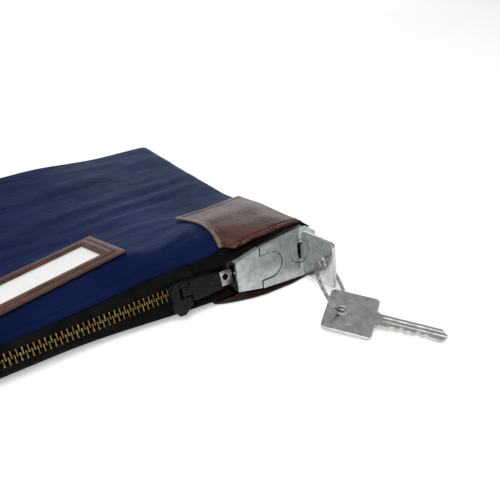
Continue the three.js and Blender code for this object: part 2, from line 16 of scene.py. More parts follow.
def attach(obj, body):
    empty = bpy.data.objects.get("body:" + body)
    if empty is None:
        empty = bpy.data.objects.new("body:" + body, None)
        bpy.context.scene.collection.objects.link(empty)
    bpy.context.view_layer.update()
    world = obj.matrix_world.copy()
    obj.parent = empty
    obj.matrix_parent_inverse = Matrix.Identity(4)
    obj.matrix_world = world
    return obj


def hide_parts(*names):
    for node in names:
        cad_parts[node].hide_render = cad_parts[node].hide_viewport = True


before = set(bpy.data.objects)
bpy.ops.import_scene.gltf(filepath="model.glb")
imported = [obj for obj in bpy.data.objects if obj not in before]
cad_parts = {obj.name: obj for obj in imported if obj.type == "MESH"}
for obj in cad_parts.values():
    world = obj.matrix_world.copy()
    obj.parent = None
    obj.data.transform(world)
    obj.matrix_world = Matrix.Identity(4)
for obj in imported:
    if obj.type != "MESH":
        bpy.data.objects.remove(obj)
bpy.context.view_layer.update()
scene = bpy.context.scene

# ---- frames and driving sizes

MM = 0.001
WORLD = Matrix.Scale(MM, 4) @ Matrix.Translation((-142, -105, 0))


def leaning(origin, degrees):
    """The frame at origin whose upright leans back into the bag by so many degrees."""
    return WORLD @ Matrix.Translation(origin) @ Matrix.Rotation(-radians(degrees), 4, "X")


LOCK_X, LOCK_Y, LOCK_Z, LOCK_LEAN = 230.3, -4.83, 15.35, 8.5
CHAIN_Y, CHAIN_Z, CHAIN_LEAN = 8.0, 12.3, 20
LOCK = leaning((LOCK_X, LOCK_Y, LOCK_Z), LOCK_LEAN)
CHAIN = leaning((0, CHAIN_Y, CHAIN_Z), CHAIN_LEAN)

BAG_W, BAG_D = 284, 211
NYLON_W, NYLON_T = 283.2, 0.8
EDGE_R = 6.0  # roundness of the bag's side and far edges
HEM_Y = 15  # the nylon's front edge at the left end
UNDER_PATCH_FAR = 69.4  # far edge of the vinyl below the corner

TOOTH_PITCH = 2.54
CHAIN_X0, CHAIN_X1 = 10.0, 213.6
SLIDER_X, SLIDER_L = 200.0, 13.0
HINGE_X, PULL_OFFSET, PULL_T, PULL_END_X = 203.5, 5.4, 2.4, 224.2
PULL_TOP, PULL_BOTTOM = (4.6, 3.3), (-6.2, -5.7)  # at the hinge end and at the tongue end
TONGUE_T, TONGUE_Z, TONGUE_HALF_W = 1.0, -1.1, 3.8
TONGUE_TIP_X, TONGUE_HOLE_X, TONGUE_HOLE_R = 231.2, 227.4, 1.7
RIVET_X = 218

NOSE_L, NOSE_H, LOCK_END_H = 14.95, 11.6, 8.2
APEX_X, APEX_H, LOCK_L = 42.5, 14.1, 51.6
PAD_R, PAD_X = 7.0, 21.3
PLUG_X, PLUG_Z, PLUG_R, PLUG_L = 41.0, 1.2, 6.7, 27.6
STACK_YS = [5.2 + 4.1 * i for i in range(5)]

BOW_L, BOW_H, KEY_T, BOW_GAP = 24.7, 25.4, 2.0, 2.2
BLADE_L, BLADE_TOP, BLADE_BOTTOM = 34.1, 3.7, -3.6
KEY_HOLE_R, KEY_HOLE_IN, KEY_PLAY = 2.6, 8.0, 0.35
RING_R = 14.36
RING_CENTRE = Vector((266.92, -34.68, 12.74))
RING_NORMAL = Vector((0.6088, -0.5522, 0.5696))
SPARE_HOLE = Vector((263.99, -46.07, 4.85))
SPARE_TURNS = (-54.3, 3.4, 11.58)  # yaw, pitch and roll in degrees

# Label holder: near right-hand corner, size, turn on the bag, climb to the right, fall to the rear.
HOLDER_CORNER = (189.7, 36.1, 24.3)
HOLDER_L, HOLDER_W = 82.0, 38.3
HOLDER_TURN, HOLDER_CLIMB, HOLDER_FALL = radians(8.8), 0.052, 0.199
HOLDER_COS, HOLDER_SIN = cos(HOLDER_TURN), sin(HOLDER_TURN)
RAIL_NEAR, RAIL_FAR, RAIL_END = 8.4, 7.0, 9.6

# ---- the height of the bag's top

# Rows of (y, height) at five stations across the bag.
TOP_LEFT_END = [(18, 12), (60, 5.4), (211, 4.4)]
TOP_MIDDLE = [(18, 15.5), (24, 18.4), (36, 16.3), (60, 11.8), (74, 9.2), (92, 8), (160, 8.6),
              (211, 8.8)]
TOP_BY_LOCK = [(18, 21), (24, 24), (36, 25), (44, 23.4), (74, 17.6), (92, 15), (120, 12), (150, 10),
               (180, 9.8), (211, 10)]
TOP_CORNER = [(6, 28.2), (20, 27.6), (40, 25), (55, 20.5), (70, 15.8), (92, 13), (120, 11), (150, 9),
              (180, 6.8), (211, 4.8)]
TOP_RIGHT_END = [(4, 26), (21.5, 24.6), (40, 20.5), (59, 17), (69, 15), (88, 12), (121, 10), (149, 8),
                 (180, 6), (211, 4.4)]


def along(rows, t):
    """The value at place t of rows of (place, value)."""
    places, values = zip(*rows)
    return np.interp(t, places, values)


def mix(a, b, t):
    return a + (b - a) * t


def smooth(a, b, t):
    """0 up to a and 1 from b on, with an easy change between them."""
    s = np.clip((np.asarray(t, float) - a) / (b - a), 0, 1)
    return s * s * (3 - 2 * s)


def faceted_top(x, y):
    """The CAD panel's height, with its straight-line facets."""
    z = mix(along(TOP_MIDDLE, y), along(TOP_BY_LOCK, y), np.clip((x - 94) / 106, 0, 1))
    z = mix(z, along(TOP_CORNER, y), smooth(216 - 34 * smooth(120, 205, y), 246, x))
    z = mix(along(TOP_LEFT_END, y), z, smooth(0, 42, x))
    return mix(z, along(TOP_RIGHT_END, y), smooth(270, BAG_W, x))


GRID_STEP, GRID_PAD = 2.0, 20.0
BLUR, BLUR_REACH = 3.6, 6  # in millimetres, and in grid steps to each side


def blurred_heights():
    """faceted_top on a grid, softened so that the facets run into each other."""
    xs = np.arange(-GRID_PAD, BAG_W + GRID_PAD, GRID_STEP)
    ys = np.arange(-GRID_PAD, BAG_D + GRID_PAD, GRID_STEP)
    heights = faceted_top(xs[:, None], ys[None, :])
    reach = np.arange(-BLUR_REACH, BLUR_REACH + 1)
    kernel = np.exp(-0.5 * (reach * GRID_STEP / BLUR) ** 2)
    kernel /= kernel.sum()

    def blurred(row):
        return np.convolve(np.pad(row, BLUR_REACH, mode="edge"), kernel, mode="valid")

    return np.apply_along_axis(blurred, 1, np.apply_along_axis(blurred, 0, heights))


HEIGHTS = blurred_heights()


def soft_top(x, y):
    """Height of the bag's top, smoothed, at x and y (numbers or arrays of one shape)."""
    u = (np.asarray(x, float) + GRID_PAD) / GRID_STEP
    v = (np.asarray(y, float) + GRID_PAD) / GRID_STEP
    i = np.clip(u.astype(int), 0, HEIGHTS.shape[0] - 2)
    j = np.clip(v.astype(int), 0, HEIGHTS.shape[1] - 2)
    near = mix(HEIGHTS[i, j], HEIGHTS[i + 1, j], u - i)
    far = mix(HEIGHTS[i, j + 1], HEIGHTS[i + 1, j + 1], u - i)
    return mix(near, far, v - j)


def holder_point(a, b, lift=0.0):
    """A point of the label holder: a from its left end, b from its near side, lift above its seat."""
    x, y, z = HOLDER_CORNER
    back = a - HOLDER_L
    return (x + back * HOLDER_COS - b * HOLDER_SIN, y + back * HOLDER_SIN + b * HOLDER_COS,
            z + back * HOLDER_CLIMB - b * HOLDER_FALL + lift)


def holder_seat(x, y):
    """The height of the holder's seat at x and y, and how far that place belongs to the seat."""
    dx, dy = x - HOLDER_CORNER[0], y - HOLDER_CORNER[1]
    a, b = HOLDER_L + dx * HOLDER_COS + dy * HOLDER_SIN, dy * HOLDER_COS - dx * HOLDER_SIN
    share = (smooth(-12, 0, a) * (1 - smooth(HOLDER_L, HOLDER_L + 10, a))
             * smooth(-6, 0, b) * (1 - smooth(HOLDER_W, HOLDER_W + 12, b)))
    return holder_point(a, b)[2], share


def corner_dip(x, y):
    """How far the bag's end sinks beside the lock."""
    return 1.8 * smooth(262, 280, x) * np.exp(-(((y - 24) / 14) ** 2))


# Folds in the nylon: start, end, half width, height. They fan out from the vinyl corner.
FOLDS = [
    ((150, 118), (283, 128), 8.0, 0.9),
    ((168, 97), (268, 112), 7.0, 1.1),
    ((196, 88), (246, 92), 5.0, 0.8),
    ((192, 66), (231, 66), 5.0, 0.7),
    ((196, 38), (233, 56), 6.0, -0.9),
    ((120, 96), (212, 84), 7.0, 0.8),
    ((60, 120), (176, 104), 10.0, 0.9),
    ((20, 60), (88, 92), 9.0, 0.8),
    ((30, 160), (150, 178), 12.0, 0.9),
    ((170, 160), (262, 176), 11.0, 0.7),
    ((206, 30), (230, 40), 4.0, 0.6),
    ((200, 196), (250, 186), 8.0, 0.6),
]


def folds(x, y):
    """The height that the folds add."""
    total = np.zeros(np.broadcast(x, y).shape)
    for start, end, width, height in FOLDS:
        a, b = np.array(start, float), np.array(end, float)
        length = np.linalg.norm(b - a)
        d = (b - a) / length
        t = ((x - a[0]) * d[0] + (y - a[1]) * d[1]) / length
        across = ((y - a[1]) * d[0] - (x - a[0]) * d[1]) / width
        ends = smooth(-0.25, 0.3, t) * (1 - smooth(0.7, 1.25, t))
        total += height * ends * np.exp(-across ** 2) * (1 - 0.6 * across ** 2)
    return total


def hem_y(x):
    """Where the nylon's front edge is folded under, over the zip tape."""
    return along([(0, HEM_Y), (135, 14.6), (165, 15.2), (191, 16.6), (214, 16), (232, 13.6)], x)


def stitch_y(x):
    """Where the hem's stitching runs."""
    return hem_y(x) + along([(0, 3.6), (135, 3.7), (165, 5), (200, 4.6), (232, 5.4)], x)


def nylon_top(x, y):
    """Height of the nylon: the smoothed top, folds, and a flat seat under the label holder."""
    z = soft_top(x, y) + folds(x, y) * smooth(22, 32, y) * (1 - smooth(178, 204, y))
    height, share = holder_seat(x, y)
    z = mix(z, height + 0.45, share)
    z = z - 0.55 * np.exp(-(((y - stitch_y(x)) / 0.8) ** 2))
    return z - corner_dip(x, y) - 1.9 * (np.clip((hem_y(x) + 2.6 - y) / 2.6, 0, 1) ** 2)


# ---- mesh helpers

def mesh_of(name, points, faces):
    mesh = bpy.data.meshes.new(name)
    mesh.from_pydata([tuple(p) for p in points], [], faces)
    mesh.validate()
    return mesh


def grid_mesh(name, points):
    """A surface through an array of points of shape (nu, nv, 3)."""
    nu, nv = points.shape[:2]
    index = np.arange(nu * nv).reshape(nu, nv)
    quads = np.stack([index[:-1, :-1], index[1:, :-1], index[1:, 1:], index[:-1, 1:]], -1)
    return mesh_of(name, points.reshape(-1, 3), quads.reshape(-1, 4).tolist())


def loft_mesh(name, rings, caps=True):
    """A closed skin through rings that have the same number of points."""
    n = len(rings[0])
    points = [p for ring in rings for p in ring]
    faces = []
    for k in range(len(rings) - 1):
        for i in range(n):
            j = (i + 1) % n
            faces.append((k * n + i, k * n + j, (k + 1) * n + j, (k + 1) * n + i))
    if caps:
        faces.append(tuple(reversed(range(n))))
        faces.append(tuple((len(rings) - 1) * n + i for i in range(n)))
    return mesh_of(name, points, faces)


def evaluated(obj):
    """The mesh of obj with its modifiers applied. obj is removed."""
    bpy.context.view_layer.update()
    graph = bpy.context.evaluated_depsgraph_get()
    mesh = bpy.data.meshes.new_from_object(obj.evaluated_get(graph))
    bpy.data.objects.remove(obj)
    return mesh


def loose_object(name, data):
    obj = bpy.data.objects.new(name, data)
    scene.collection.objects.link(obj)
    return obj


def thickened(mesh, thickness, subdivide=0):
    """A surface made into a sheet that grows below its normals."""
    obj = loose_object("sheet", mesh)
    solid = obj.modifiers.new("thickness", "SOLIDIFY")
    solid.thickness = thickness
    solid.offset = -1
    solid.use_even_offset = False
    if subdivide:
        detail = obj.modifiers.new("smooth", "SUBSURF")
        detail.levels = detail.render_levels = subdivide
    return evaluated(obj)


def plate(outlines, y0, y1, bevel=0.2, steps=2):
    """A flat plate across the y axis with softened edges. Each outline is a list of (x, z); the
    first goes round anticlockwise, seen from the front, and the others are holes."""
    curve = bpy.data.curves.new("plate", "CURVE")
    curve.dimensions = "2D"
    curve.fill_mode = "BOTH"
    curve.extrude = (y1 - y0) / 2 - bevel
    curve.bevel_depth = bevel
    curve.bevel_resolution = steps
    curve.offset = -bevel
    for n, outline in enumerate(outlines):
        area = sum(a[0] * b[1] - b[0] * a[1] for a, b in zip(outline, outline[1:] + outline[:1]))
        points = outline if (area > 0) == (n == 0) else outline[::-1]
        spline = curve.splines.new("POLY")
        spline.points.add(len(points) - 1)
        for point, (x, z) in zip(spline.points, points):
            point.co = (x, z, 0, 1)
        spline.use_cyclic_u = True
    mesh = evaluated(loose_object("plate", curve))
    mesh.transform(Matrix.Translation((0, (y0 + y1) / 2, 0)) @ Matrix.Rotation(pi / 2, 4, "X"))
    return welded(mesh)


def welded(mesh):
    """mesh with doubled points merged and every face turned outwards."""
    bm = bmesh.new()
    bm.from_mesh(mesh)
    bmesh.ops.remove_doubles(bm, verts=bm.verts, dist=1e-3)
    bmesh.ops.recalc_face_normals(bm, faces=bm.faces)
    bm.to_mesh(mesh)
    bm.free()
    return mesh


def joined(*meshes):
    bm = bmesh.new()
    for mesh in meshes:
        bm.from_mesh(mesh)
    result = bpy.data.meshes.new("joined")
    bm.to_mesh(result)
    bm.free()
    return result


def cut(mesh, tools):
    """mesh with the tools taken out of it."""
    obj = loose_object("work", mesh)
    cutters = [loose_object("tool", tool) for tool in tools]
    for cutter in cutters:
        step = obj.modifiers.new("cut", "BOOLEAN")
        step.operation = "DIFFERENCE"
        step.object = cutter
        step.solver = "EXACT"
    result = evaluated(obj)
    for cutter in cutters:
        bpy.data.objects.remove(cutter)
    return result


def block(x0, x1, y0, y1, z0, z1, bevel=0.0):
    """A box, with chamfered edges where bevel is given."""
    bm = bmesh.new()
    bmesh.ops.create_cube(bm, size=1)
    for v in bm.verts:
        share = v.co + Vector((0.5, 0.5, 0.5))
        v.co = (mix(x0, x1, share.x), mix(y0, y1, share.y), mix(z0, z1, share.z))
    if bevel:
        bmesh.ops.bevel(bm, geom=bm.edges[:], offset=bevel, segments=2, profile=0.5, affect="EDGES")
    mesh = bpy.data.meshes.new("block")
    bm.to_mesh(mesh)
    bm.free()
    return mesh


def turned(profile, sides, at, upright=True):
    """A solid turned from (radius, place along its axis). It stands at the point at, upright or,
    if not, with its axis along y."""
    rings = []
    for radius, place_on_axis in profile:
        spots = circle(0, 0, radius, sides)
        rings.append([(p, q, place_on_axis) if upright else (p, place_on_axis, q) for p, q in spots])
    mesh = welded(loft_mesh("turned", rings))
    mesh.transform(Matrix.Translation(at))
    return mesh


def circle(x, z, radius, n=48):
    angles = [2 * pi * i / n for i in range(n)]
    return [(x + radius * cos(a), z + radius * sin(a)) for a in angles]


def oblong(x0, x1, z0, z1):
    """The four corners of a rectangle, anticlockwise."""
    return [(x0, z0), (x1, z0), (x1, z1), (x0, z1)]


def rounded(points, radius, n=5):
    """A polygon whose corners are rounded. radius is one number, or one for each corner."""
    radii = [radius] * len(points) if isinstance(radius, (int, float)) else radius
    out = []
    for k, (corner, r) in enumerate(zip(points, radii)):
        c = Vector(corner)
        before, after = Vector(points[k - 1]) - c, Vector(points[(k + 1) % len(points)]) - c
        if not r:
            out.append(tuple(c))
            continue
        half = before.angle(after) / 2
        back = min(r / tan(half), 0.49 * before.length, 0.49 * after.length)
        a, b = c + before.normalized() * back, c + after.normalized() * back
        for i in range(n + 1):
            t = i / n
            out.append(tuple(a * (1 - t) ** 2 + c * 2 * t * (1 - t) + b * t ** 2))
    return out


def place(name, mesh, matrix, body, material, stands_for=(), sharp=40):
    """Puts a finished mesh, in its own frame's millimetres, on a CAD body."""
    mesh.name = name
    mesh.transform(matrix)
    mesh.polygons.foreach_set("use_smooth", [True] * len(mesh.polygons))
    mesh.set_sharp_from_angle(angle=radians(sharp))
    mesh.materials.clear()
    mesh.materials.append(material)
    obj = loose_object(name, mesh)
    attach(obj, body)
    if stands_for:
        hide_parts(*stands_for)
    return obj


# ---- materials

class Recipe:
    """A Principled material and short calls for the nodes that feed it."""

    def __init__(self, name, **settings):
        self.material = bpy.data.materials.new(name)
        self.material.use_nodes = True
        self.tree = self.material.node_tree
        self.shader = self.tree.nodes["Principled BSDF"]
        self.coords = self.add("ShaderNodeTexCoord").outputs["Object"]
        for key, value in settings.items():
            self.shader.inputs[key.replace("_", " ")].default_value = value

    def add(self, kind, inputs=None, **attributes):
        node = self.tree.nodes.new(kind)
        for key, value in attributes.items():
            setattr(node, key, value)
        for key, value in (inputs or {}).items():
            socket = node.inputs[key]
            if isinstance(value, bpy.types.NodeSocket):
                self.tree.links.new(value, socket)
            else:
                socket.default_value = value
        return node

    def noise(self, per_mm, detail=2.0, roughness=0.5, stretch=(1, 1, 1)):
        """Cloudy noise with about per_mm blobs to the millimetre."""
        scaled = self.add("ShaderNodeVectorMath", {0: self.coords, 1: stretch}, operation="MULTIPLY")
        inputs = {"Vector": scaled.outputs[0], "Scale": per_mm / MM, "Detail": detail,
                  "Roughness": roughness}
        return self.add("ShaderNodeTexNoise", inputs).outputs["Fac"]

    def cells(self, per_mm):
        """Soft-edged cells, per_mm to the millimetre."""
        inputs = {"Vector": self.coords, "Scale": per_mm / MM}
        return self.add("ShaderNodeTexVoronoi", inputs, feature="SMOOTH_F1").outputs["Distance"]

    def maths(self, operation, a, b=0.0):
        return self.add("ShaderNodeMath", {0: a, 1: b}, operation=operation).outputs[0]

    def wave(self, axis, pitch_mm):
        """A sine from -1 to 1 along an axis of the object."""
        xyz = self.add("ShaderNodeSeparateXYZ", {0: self.coords})
        turn = self.maths("MULTIPLY", xyz.outputs[axis], 2 * pi / (pitch_mm * MM))
        return self.maths("SINE", turn)

    def weave(self, one, other, pitch_mm):
        """Two waves across each other."""
        return self.maths("MULTIPLY", self.wave(one, pitch_mm), self.wave(other, pitch_mm))

    def feed(self, socket, value):
        self.tree.links.new(value, self.shader.inputs[socket])

    def colour(self, fac, *stops):
        """Base colour along fac, from stops of (position, colour)."""
        node = self.add("ShaderNodeValToRGB", {"Fac": fac})
        elements = node.color_ramp.elements
        while len(elements) < len(stops):
            elements.new(0.5)
        for element, (position, rgb) in zip(elements, stops):
            element.position = position
            element.color = (*rgb, 1)
        self.feed("Base Color", node.outputs["Color"])

    def roughness(self, fac, low, high):
        """Roughness from low to high, as fac goes from 0 to 1."""
        node = self.add("ShaderNodeMapRange", {"Value": fac, "To Min": low, "To Max": high})
        self.feed("Roughness", node.outputs["Result"])

    def bump(self, *layers):
        """Bump from layers of (height, depth in mm), each on top of the one before."""
        normal = None
        for height, depth in layers:
            inputs = {"Height": height, "Strength": 1.0, "Distance": depth * MM}
            if normal:
                inputs["Normal"] = normal
            normal = self.add("ShaderNodeBump", inputs).outputs["Normal"]
        self.feed("Normal", normal)


def nylon_material():
    r = Recipe("navy_nylon", Roughness=0.45, IOR=1.2, Specular_IOR_Level=0.2,
               Specular_Tint=(0.4, 0.68, 1.0, 1), Sheen_Weight=0.1, Sheen_Roughness=0.35,
               Sheen_Tint=(0.1, 0.38, 1.0, 1))
    r.colour(r.noise(0.02, 3.0), (0.3, (0.0022, 0.0048, 0.026)), (0.72, (0.004, 0.0095, 0.05)))
    r.roughness(r.noise(0.12, 3.0), 0.38, 0.56)
    crumple = r.noise(0.06, 4.0, 0.55, (1, 2.2, 1))
    r.bump((crumple, 1.1), (r.weave("X", "Y", 0.62), 0.035), (r.noise(0.9, 2.0), 0.05))
    return r.material


def tape_material():
    r = Recipe("black_tape", Roughness=0.85, IOR=1.2, Specular_IOR_Level=0.2)
    r.colour(r.noise(0.15), (0.3, (0.0022, 0.0024, 0.0024)), (0.75, (0.006, 0.006, 0.006)))
    r.bump((r.weave("X", "Z", 0.8), 0.06), (r.noise(0.5, 3.0), 0.06))
    return r.material


def vinyl_material(name, base, worn, gloss=0.35):
    r = Recipe(name, Roughness=0.42, Specular_IOR_Level=gloss, Specular_Tint=(1.0, 0.84, 0.72, 1),
               Sheen_Weight=0.4 * gloss, Sheen_Roughness=0.35, Sheen_Tint=(1.0, 0.86, 0.66, 1))
    grain = r.cells(1.15)
    r.colour(r.noise(0.12, 3.0), (0.3, base), (0.8, worn))
    r.roughness(grain, 0.36, 0.55)
    r.bump((r.noise(0.09, 3.0), 0.5), (grain, 0.13), (r.noise(3.0, 2.0), 0.03))
    return r.material


def satin_nickel():
    r = Recipe("satin_nickel", Metallic=1.0, Roughness=0.3)
    fine = r.noise(4.0, 3.0)
    r.colour(r.noise(0.35, 3.0), (0.3, (0.31, 0.345, 0.325)), (0.7, (0.47, 0.505, 0.485)))
    r.roughness(fine, 0.24, 0.42)
    r.bump((r.noise(1.4, 4.0, 0.65), 0.06), (fine, 0.02))
    return r.material


def key_nickel():
    r = Recipe("key_nickel", Metallic=1.0, Roughness=0.22)
    drawn = r.noise(0.5, 3.0, 0.6, (1, 6, 1))
    r.colour(r.noise(0.25, 2.0), (0.3, (0.38, 0.39, 0.375)), (0.75, (0.56, 0.575, 0.555)))
    r.roughness(drawn, 0.15, 0.3)
    r.bump((drawn, 0.012), (r.noise(0.12, 2.0), 0.05))
    return r.material


def wire_nickel():
    r = Recipe("ring_nickel", Metallic=1.0, Roughness=0.14)
    r.colour(r.noise(0.4), (0.3, (0.16, 0.165, 0.17)), (0.7, (0.42, 0.43, 0.44)))
    r.roughness(r.noise(2.0, 3.0), 0.09, 0.2)
    return r.material


def plated_steel():
    r = Recipe("plated_steel", Metallic=1.0, Roughness=0.35)
    r.colour(r.noise(0.6, 3.0), (0.3, (0.468, 0.4732, 0.4784)), (0.7, (0.585, 0.5915, 0.598)))
    r.roughness(r.noise(2.2, 3.0), 0.28, 0.45)
    r.bump((r.noise(3.0, 2.0), 0.01))
    return r.material


def brass_material():
    r = Recipe("antique_brass", Metallic=1.0, Roughness=0.36)
    tarnish = r.noise(0.55, 4.0)
    r.colour(tarnish, (0.25, (0.05, 0.034, 0.01)), (0.55, (0.22, 0.15, 0.045)),
             (0.85, (0.5, 0.38, 0.14)))
    r.roughness(tarnish, 0.48, 0.26)
    r.bump((r.noise(3.5, 2.0), 0.012))
    return r.material


def black_lacquer():
    r = Recipe("black_lacquer", Roughness=0.38, IOR=1.3, Specular_IOR_Level=0.35)
    r.colour(r.noise(0.5, 4.0), (0.4, (0.003, 0.0032, 0.003)), (0.85, (0.011, 0.0105, 0.008)))
    r.roughness(r.noise(1.5, 3.0), 0.3, 0.46)
    r.bump((r.noise(1.6, 3.0), 0.03))
    return r.material


def card_material():
    r = Recipe("white_card", Roughness=0.7, Specular_IOR_Level=0.3)
    r.colour(r.noise(0.8, 3.0), (0.3, (0.80, 0.80, 0.78)), (0.7, (0.86, 0.86, 0.85)))
    r.bump((r.noise(2.5, 3.0), 0.02))
    return r.material


def film_material():
    r = Recipe("clear_film", Roughness=0.08, Specular_IOR_Level=0.5, Alpha=0.1)
    r.colour(r.noise(0.05), (0.3, (0.86, 0.89, 0.90)), (0.7, (0.92, 0.94, 0.95)))
    r.roughness(r.noise(0.3), 0.06, 0.16)
    return r.material


def thread_material(name, dark, light):
    r = Recipe(name, Roughness=0.7, IOR=1.2)
    r.colour(r.noise(0.9), (0.3, dark), (0.7, light))
    r.bump((r.noise(4.0), 0.03))
    return r.material


def floor_material():
    r = Recipe("pale_floor", Roughness=0.85, Specular_IOR_Level=0.1, Emission_Color=(1, 1, 1, 1),
               Emission_Strength=0.22)
    r.colour(r.noise(0.002), (0.3, (0.90, 0.90, 0.90)), (0.7, (0.93, 0.93, 0.93)))
    return r.material


NYLON = nylon_material()
TAPE = tape_material()
VINYL = vinyl_material("brown_vinyl", (0.026, 0.0045, 0.0038), (0.075, 0.016, 0.012))
RAIL_VINYL = vinyl_material("rail_vinyl", (0.05, 0.018, 0.013), (0.1, 0.045, 0.034))
# The same brown vinyl painted far darker: painted shade for the shadow under the lock and the corner.
SHADED_UNDER_VINYL = vinyl_material("under_vinyl_painted_shade", (0.003, 0.0008, 0.0008), (0.014, 0.002, 0.002), 0.15)
# The folded rim's light beige is a painted highlight: the grazing sheen on the fold.
HIGHLIGHT_RIM_VINYL = vinyl_material("rim_vinyl_painted_highlight", (0.095, 0.062, 0.042), (0.2, 0.15, 0.11))
NICKEL = satin_nickel()
KEY = key_nickel()
WIRE = wire_nickel()
STEEL = plated_steel()
BRASS = brass_material()
LACQUER = black_lacquer()
CARD = card_material()
FILM = film_material()
NAVY_THREAD = thread_material("navy_thread", (0.001, 0.0014, 0.004), (0.003, 0.004, 0.01))
BROWN_THREAD = thread_material("brown_thread", (0.003, 0.001, 0.001), (0.01, 0.003, 0.003))

# ---- nylon

RIM_STEPS = 8


def rim_steps():
    """(distance in from the edge, share of the height) from the seam up to the flat."""
    angles = [pi / 2 * i / RIM_STEPS for i in range(RIM_STEPS + 1)]
    return [(EDGE_R * (1 - cos(a)), sin(a)) for a in angles]


def rows_across(inside):
    """Stations up to the rounded far edge, each as (y, share of the height)."""
    return [(y, 1.0) for y in inside] + [(BAG_D - d, share) for d, share in reversed(rim_steps())]


def columns(step):
    """Stations from one rounded end to the other, each as (x, share of the height)."""
    inside = np.arange(EDGE_R + step, NYLON_W - EDGE_R - step / 2, step).tolist()
    right = [(NYLON_W - d, share) for d, share in reversed(rim_steps())]
    return rim_steps() + [(x, 1.0) for x in inside] + right


def seam_height(x, y):
    """Where the upper and the lower nylon meet at the edge."""
    return np.minimum(0.45 * soft_top(x, y), 3.2)


def upper_nylon():
    by_hem = [0, 0.15, 0.5, 1.0, 1.6, 2.2, 2.8, 3.4, 4.0, 4.6, 5.2, 5.8, 6.6, 7.6, 9.0, 10.5]
    inside = [HEM_Y + d for d in by_hem] + np.arange(28.0, BAG_D - EDGE_R - 1, 2.0).tolist()
    rows, cols = rows_across(inside), columns(2.4)
    x, x_share = (np.array(v)[:, None] for v in zip(*cols))
    y, y_share = (np.array(v)[None, :] for v in zip(*rows))
    x, y = np.broadcast_arrays(x, y)
    y = y + (hem_y(x) - HEM_Y) * (1 - smooth(20, 44, y))
    seam = seam_height(x, y)
    z = seam + (nylon_top(x, y) - seam) * x_share * y_share
    ripple = np.vectorize(lambda a, b: noise.noise((a * 0.028, b * 0.045, 3.1)))
    z = z + 0.7 * ripple(x, y) * x_share * y_share * smooth(26, 44, y) * (1 - smooth(185, 205, y))
    mesh = thickened(grid_mesh("upper", np.stack([x, y, z], -1)), NYLON_T)
    place("nylon_upper", mesh, WORLD, "bag", NYLON, ["upper_panel"], 60)


def lower_nylon():
    far = rows_across([])
    points = []
    for x, x_share in columns(6.0):
        near = 16 - 9 * smooth(140, 231, x) if x < 231 else UNDER_PATCH_FAR + 0.4
        ys = [(mix(near, BAG_D - EDGE_R, t), 1.0) for t in np.linspace(0, 1, 12)][:-1] + far
        points.append([(x, y, seam_height(x, y) * (1 - x_share * share)) for y, share in ys])
    mesh = thickened(grid_mesh("lower", np.array(points)[::-1]), NYLON_T)
    place("nylon_lower", mesh, WORLD, "bag", NYLON, ["lower_panel"], 60)


def stitch_mesh(path, length, gap, radius):
    """A row of stitches on a path: each one is a short grain that dips in at its ends."""
    path = [Vector(p) for p in path]
    starts = np.cumsum([0] + [(b - a).length for a, b in zip(path, path[1:])])
    grains = []

    def at(s):
        return Vector([np.interp(s, starts, [p[k] for p in path]) for k in range(3)])

    s = gap
    while s + length < starts[-1]:
        a, b = at(s), at(s + length)
        along_it = (b - a).normalized()
        side = along_it.cross(Vector((0, 0, 1))).normalized()
        up = side.cross(along_it)
        rings = []
        for t, share in ((0, 0.15), (0.12, 0.7), (0.35, 1), (0.65, 1), (0.88, 0.7), (1, 0.15)):
            centre = a.lerp(b, t) - up * radius * (1 - share) * 1.6
            ring = [centre + (side * cos(q) + up * sin(q)) * radius * share
                    for q in (2 * pi * i / 6 for i in range(6))]
            rings.append(ring)
        grains.append(loft_mesh("stitch", rings))
        s += length + gap
    return joined(*grains)


def hem_stitches():
    xs = np.arange(6, 233, 2.0)
    path = [(x, stitch_y(x), nylon_top(x, stitch_y(x)) + 0.08) for x in xs]
    place("hem_stitches", stitch_mesh(path, 2.3, 0.7, 0.24), WORLD, "bag", NAVY_THREAD)


# ---- vinyl corner

PATCH_EDGE, PATCH_ROUND, PATCH_FOOT = 284.5, 5.2, 2.2  # right-hand face, its round, its lower edge
PATCH_SEAM = 2.9  # the stitching, from the front edge
HIGHLIGHT_RIM_W = 1.7  # the band along the folded rim painted light beige: a painted highlight on the fold


def patch_left(t):
    return 230.2 + 3.6 * sin(pi * t) + 0.5 * t


def patch_far(x):
    return 62 + 7 * smooth(258, 283, x)


def patch_front(x):
    return mix(12.7, 4.7, smooth(230.2, 236.5, x)) + 2.1 * smooth(258, 283, x)


def patch_point(s, t):
    """The vinyl's outer face. s runs from its left edge, over the top and down the bag's end;
    t runs from the zip to its far edge."""
    across = min(s, 1.0)
    x = mix(patch_left(t), PATCH_EDGE - PATCH_ROUND, across)
    y = mix(patch_front(x), patch_far(x), t)
    z = soft_top(x, y) + 1.3
    z -= corner_dip(x, y)
    inside = min(x - patch_left(t), patch_far(x) - y)
    z += 0.45 * (1 - smooth(2.4, 3.6, inside + 0.35 * noise.noise((x * 0.3, y * 0.3, 1))))
    near = y - patch_front(x)
    pucker = exp(-((near / 3.4) ** 2)) * smooth(231, 236, x) * (1 - smooth(262, 276, x))
    z += pucker * (0.32 * sin(x * 0.62) + 0.2 * sin(x * 1.4 + 1))
    z -= 0.5 * exp(-(((near - PATCH_SEAM) / 0.7) ** 2)) + 0.9 * exp(-((near / 0.8) ** 2))
    y += pucker * 0.5 * sin(x * 0.55 + 2)
    z += 0.35 * noise.noise((x * 0.09, y * 0.09, 5.0))
    if s > 1:
        a = (s - 1) * pi / 2
        y = y - 2.6 * sin(a) * (1 - t)
        x += PATCH_ROUND * sin(a)
        z = PATCH_FOOT + (z - PATCH_FOOT) * max(0.0, cos(a)) ** 0.75
    return x, y, z


def stations(*runs):
    """Places along runs of (start, end, count), where each run starts at the last one's end."""
    return np.unique(np.concatenate([np.linspace(*run) for run in runs]))


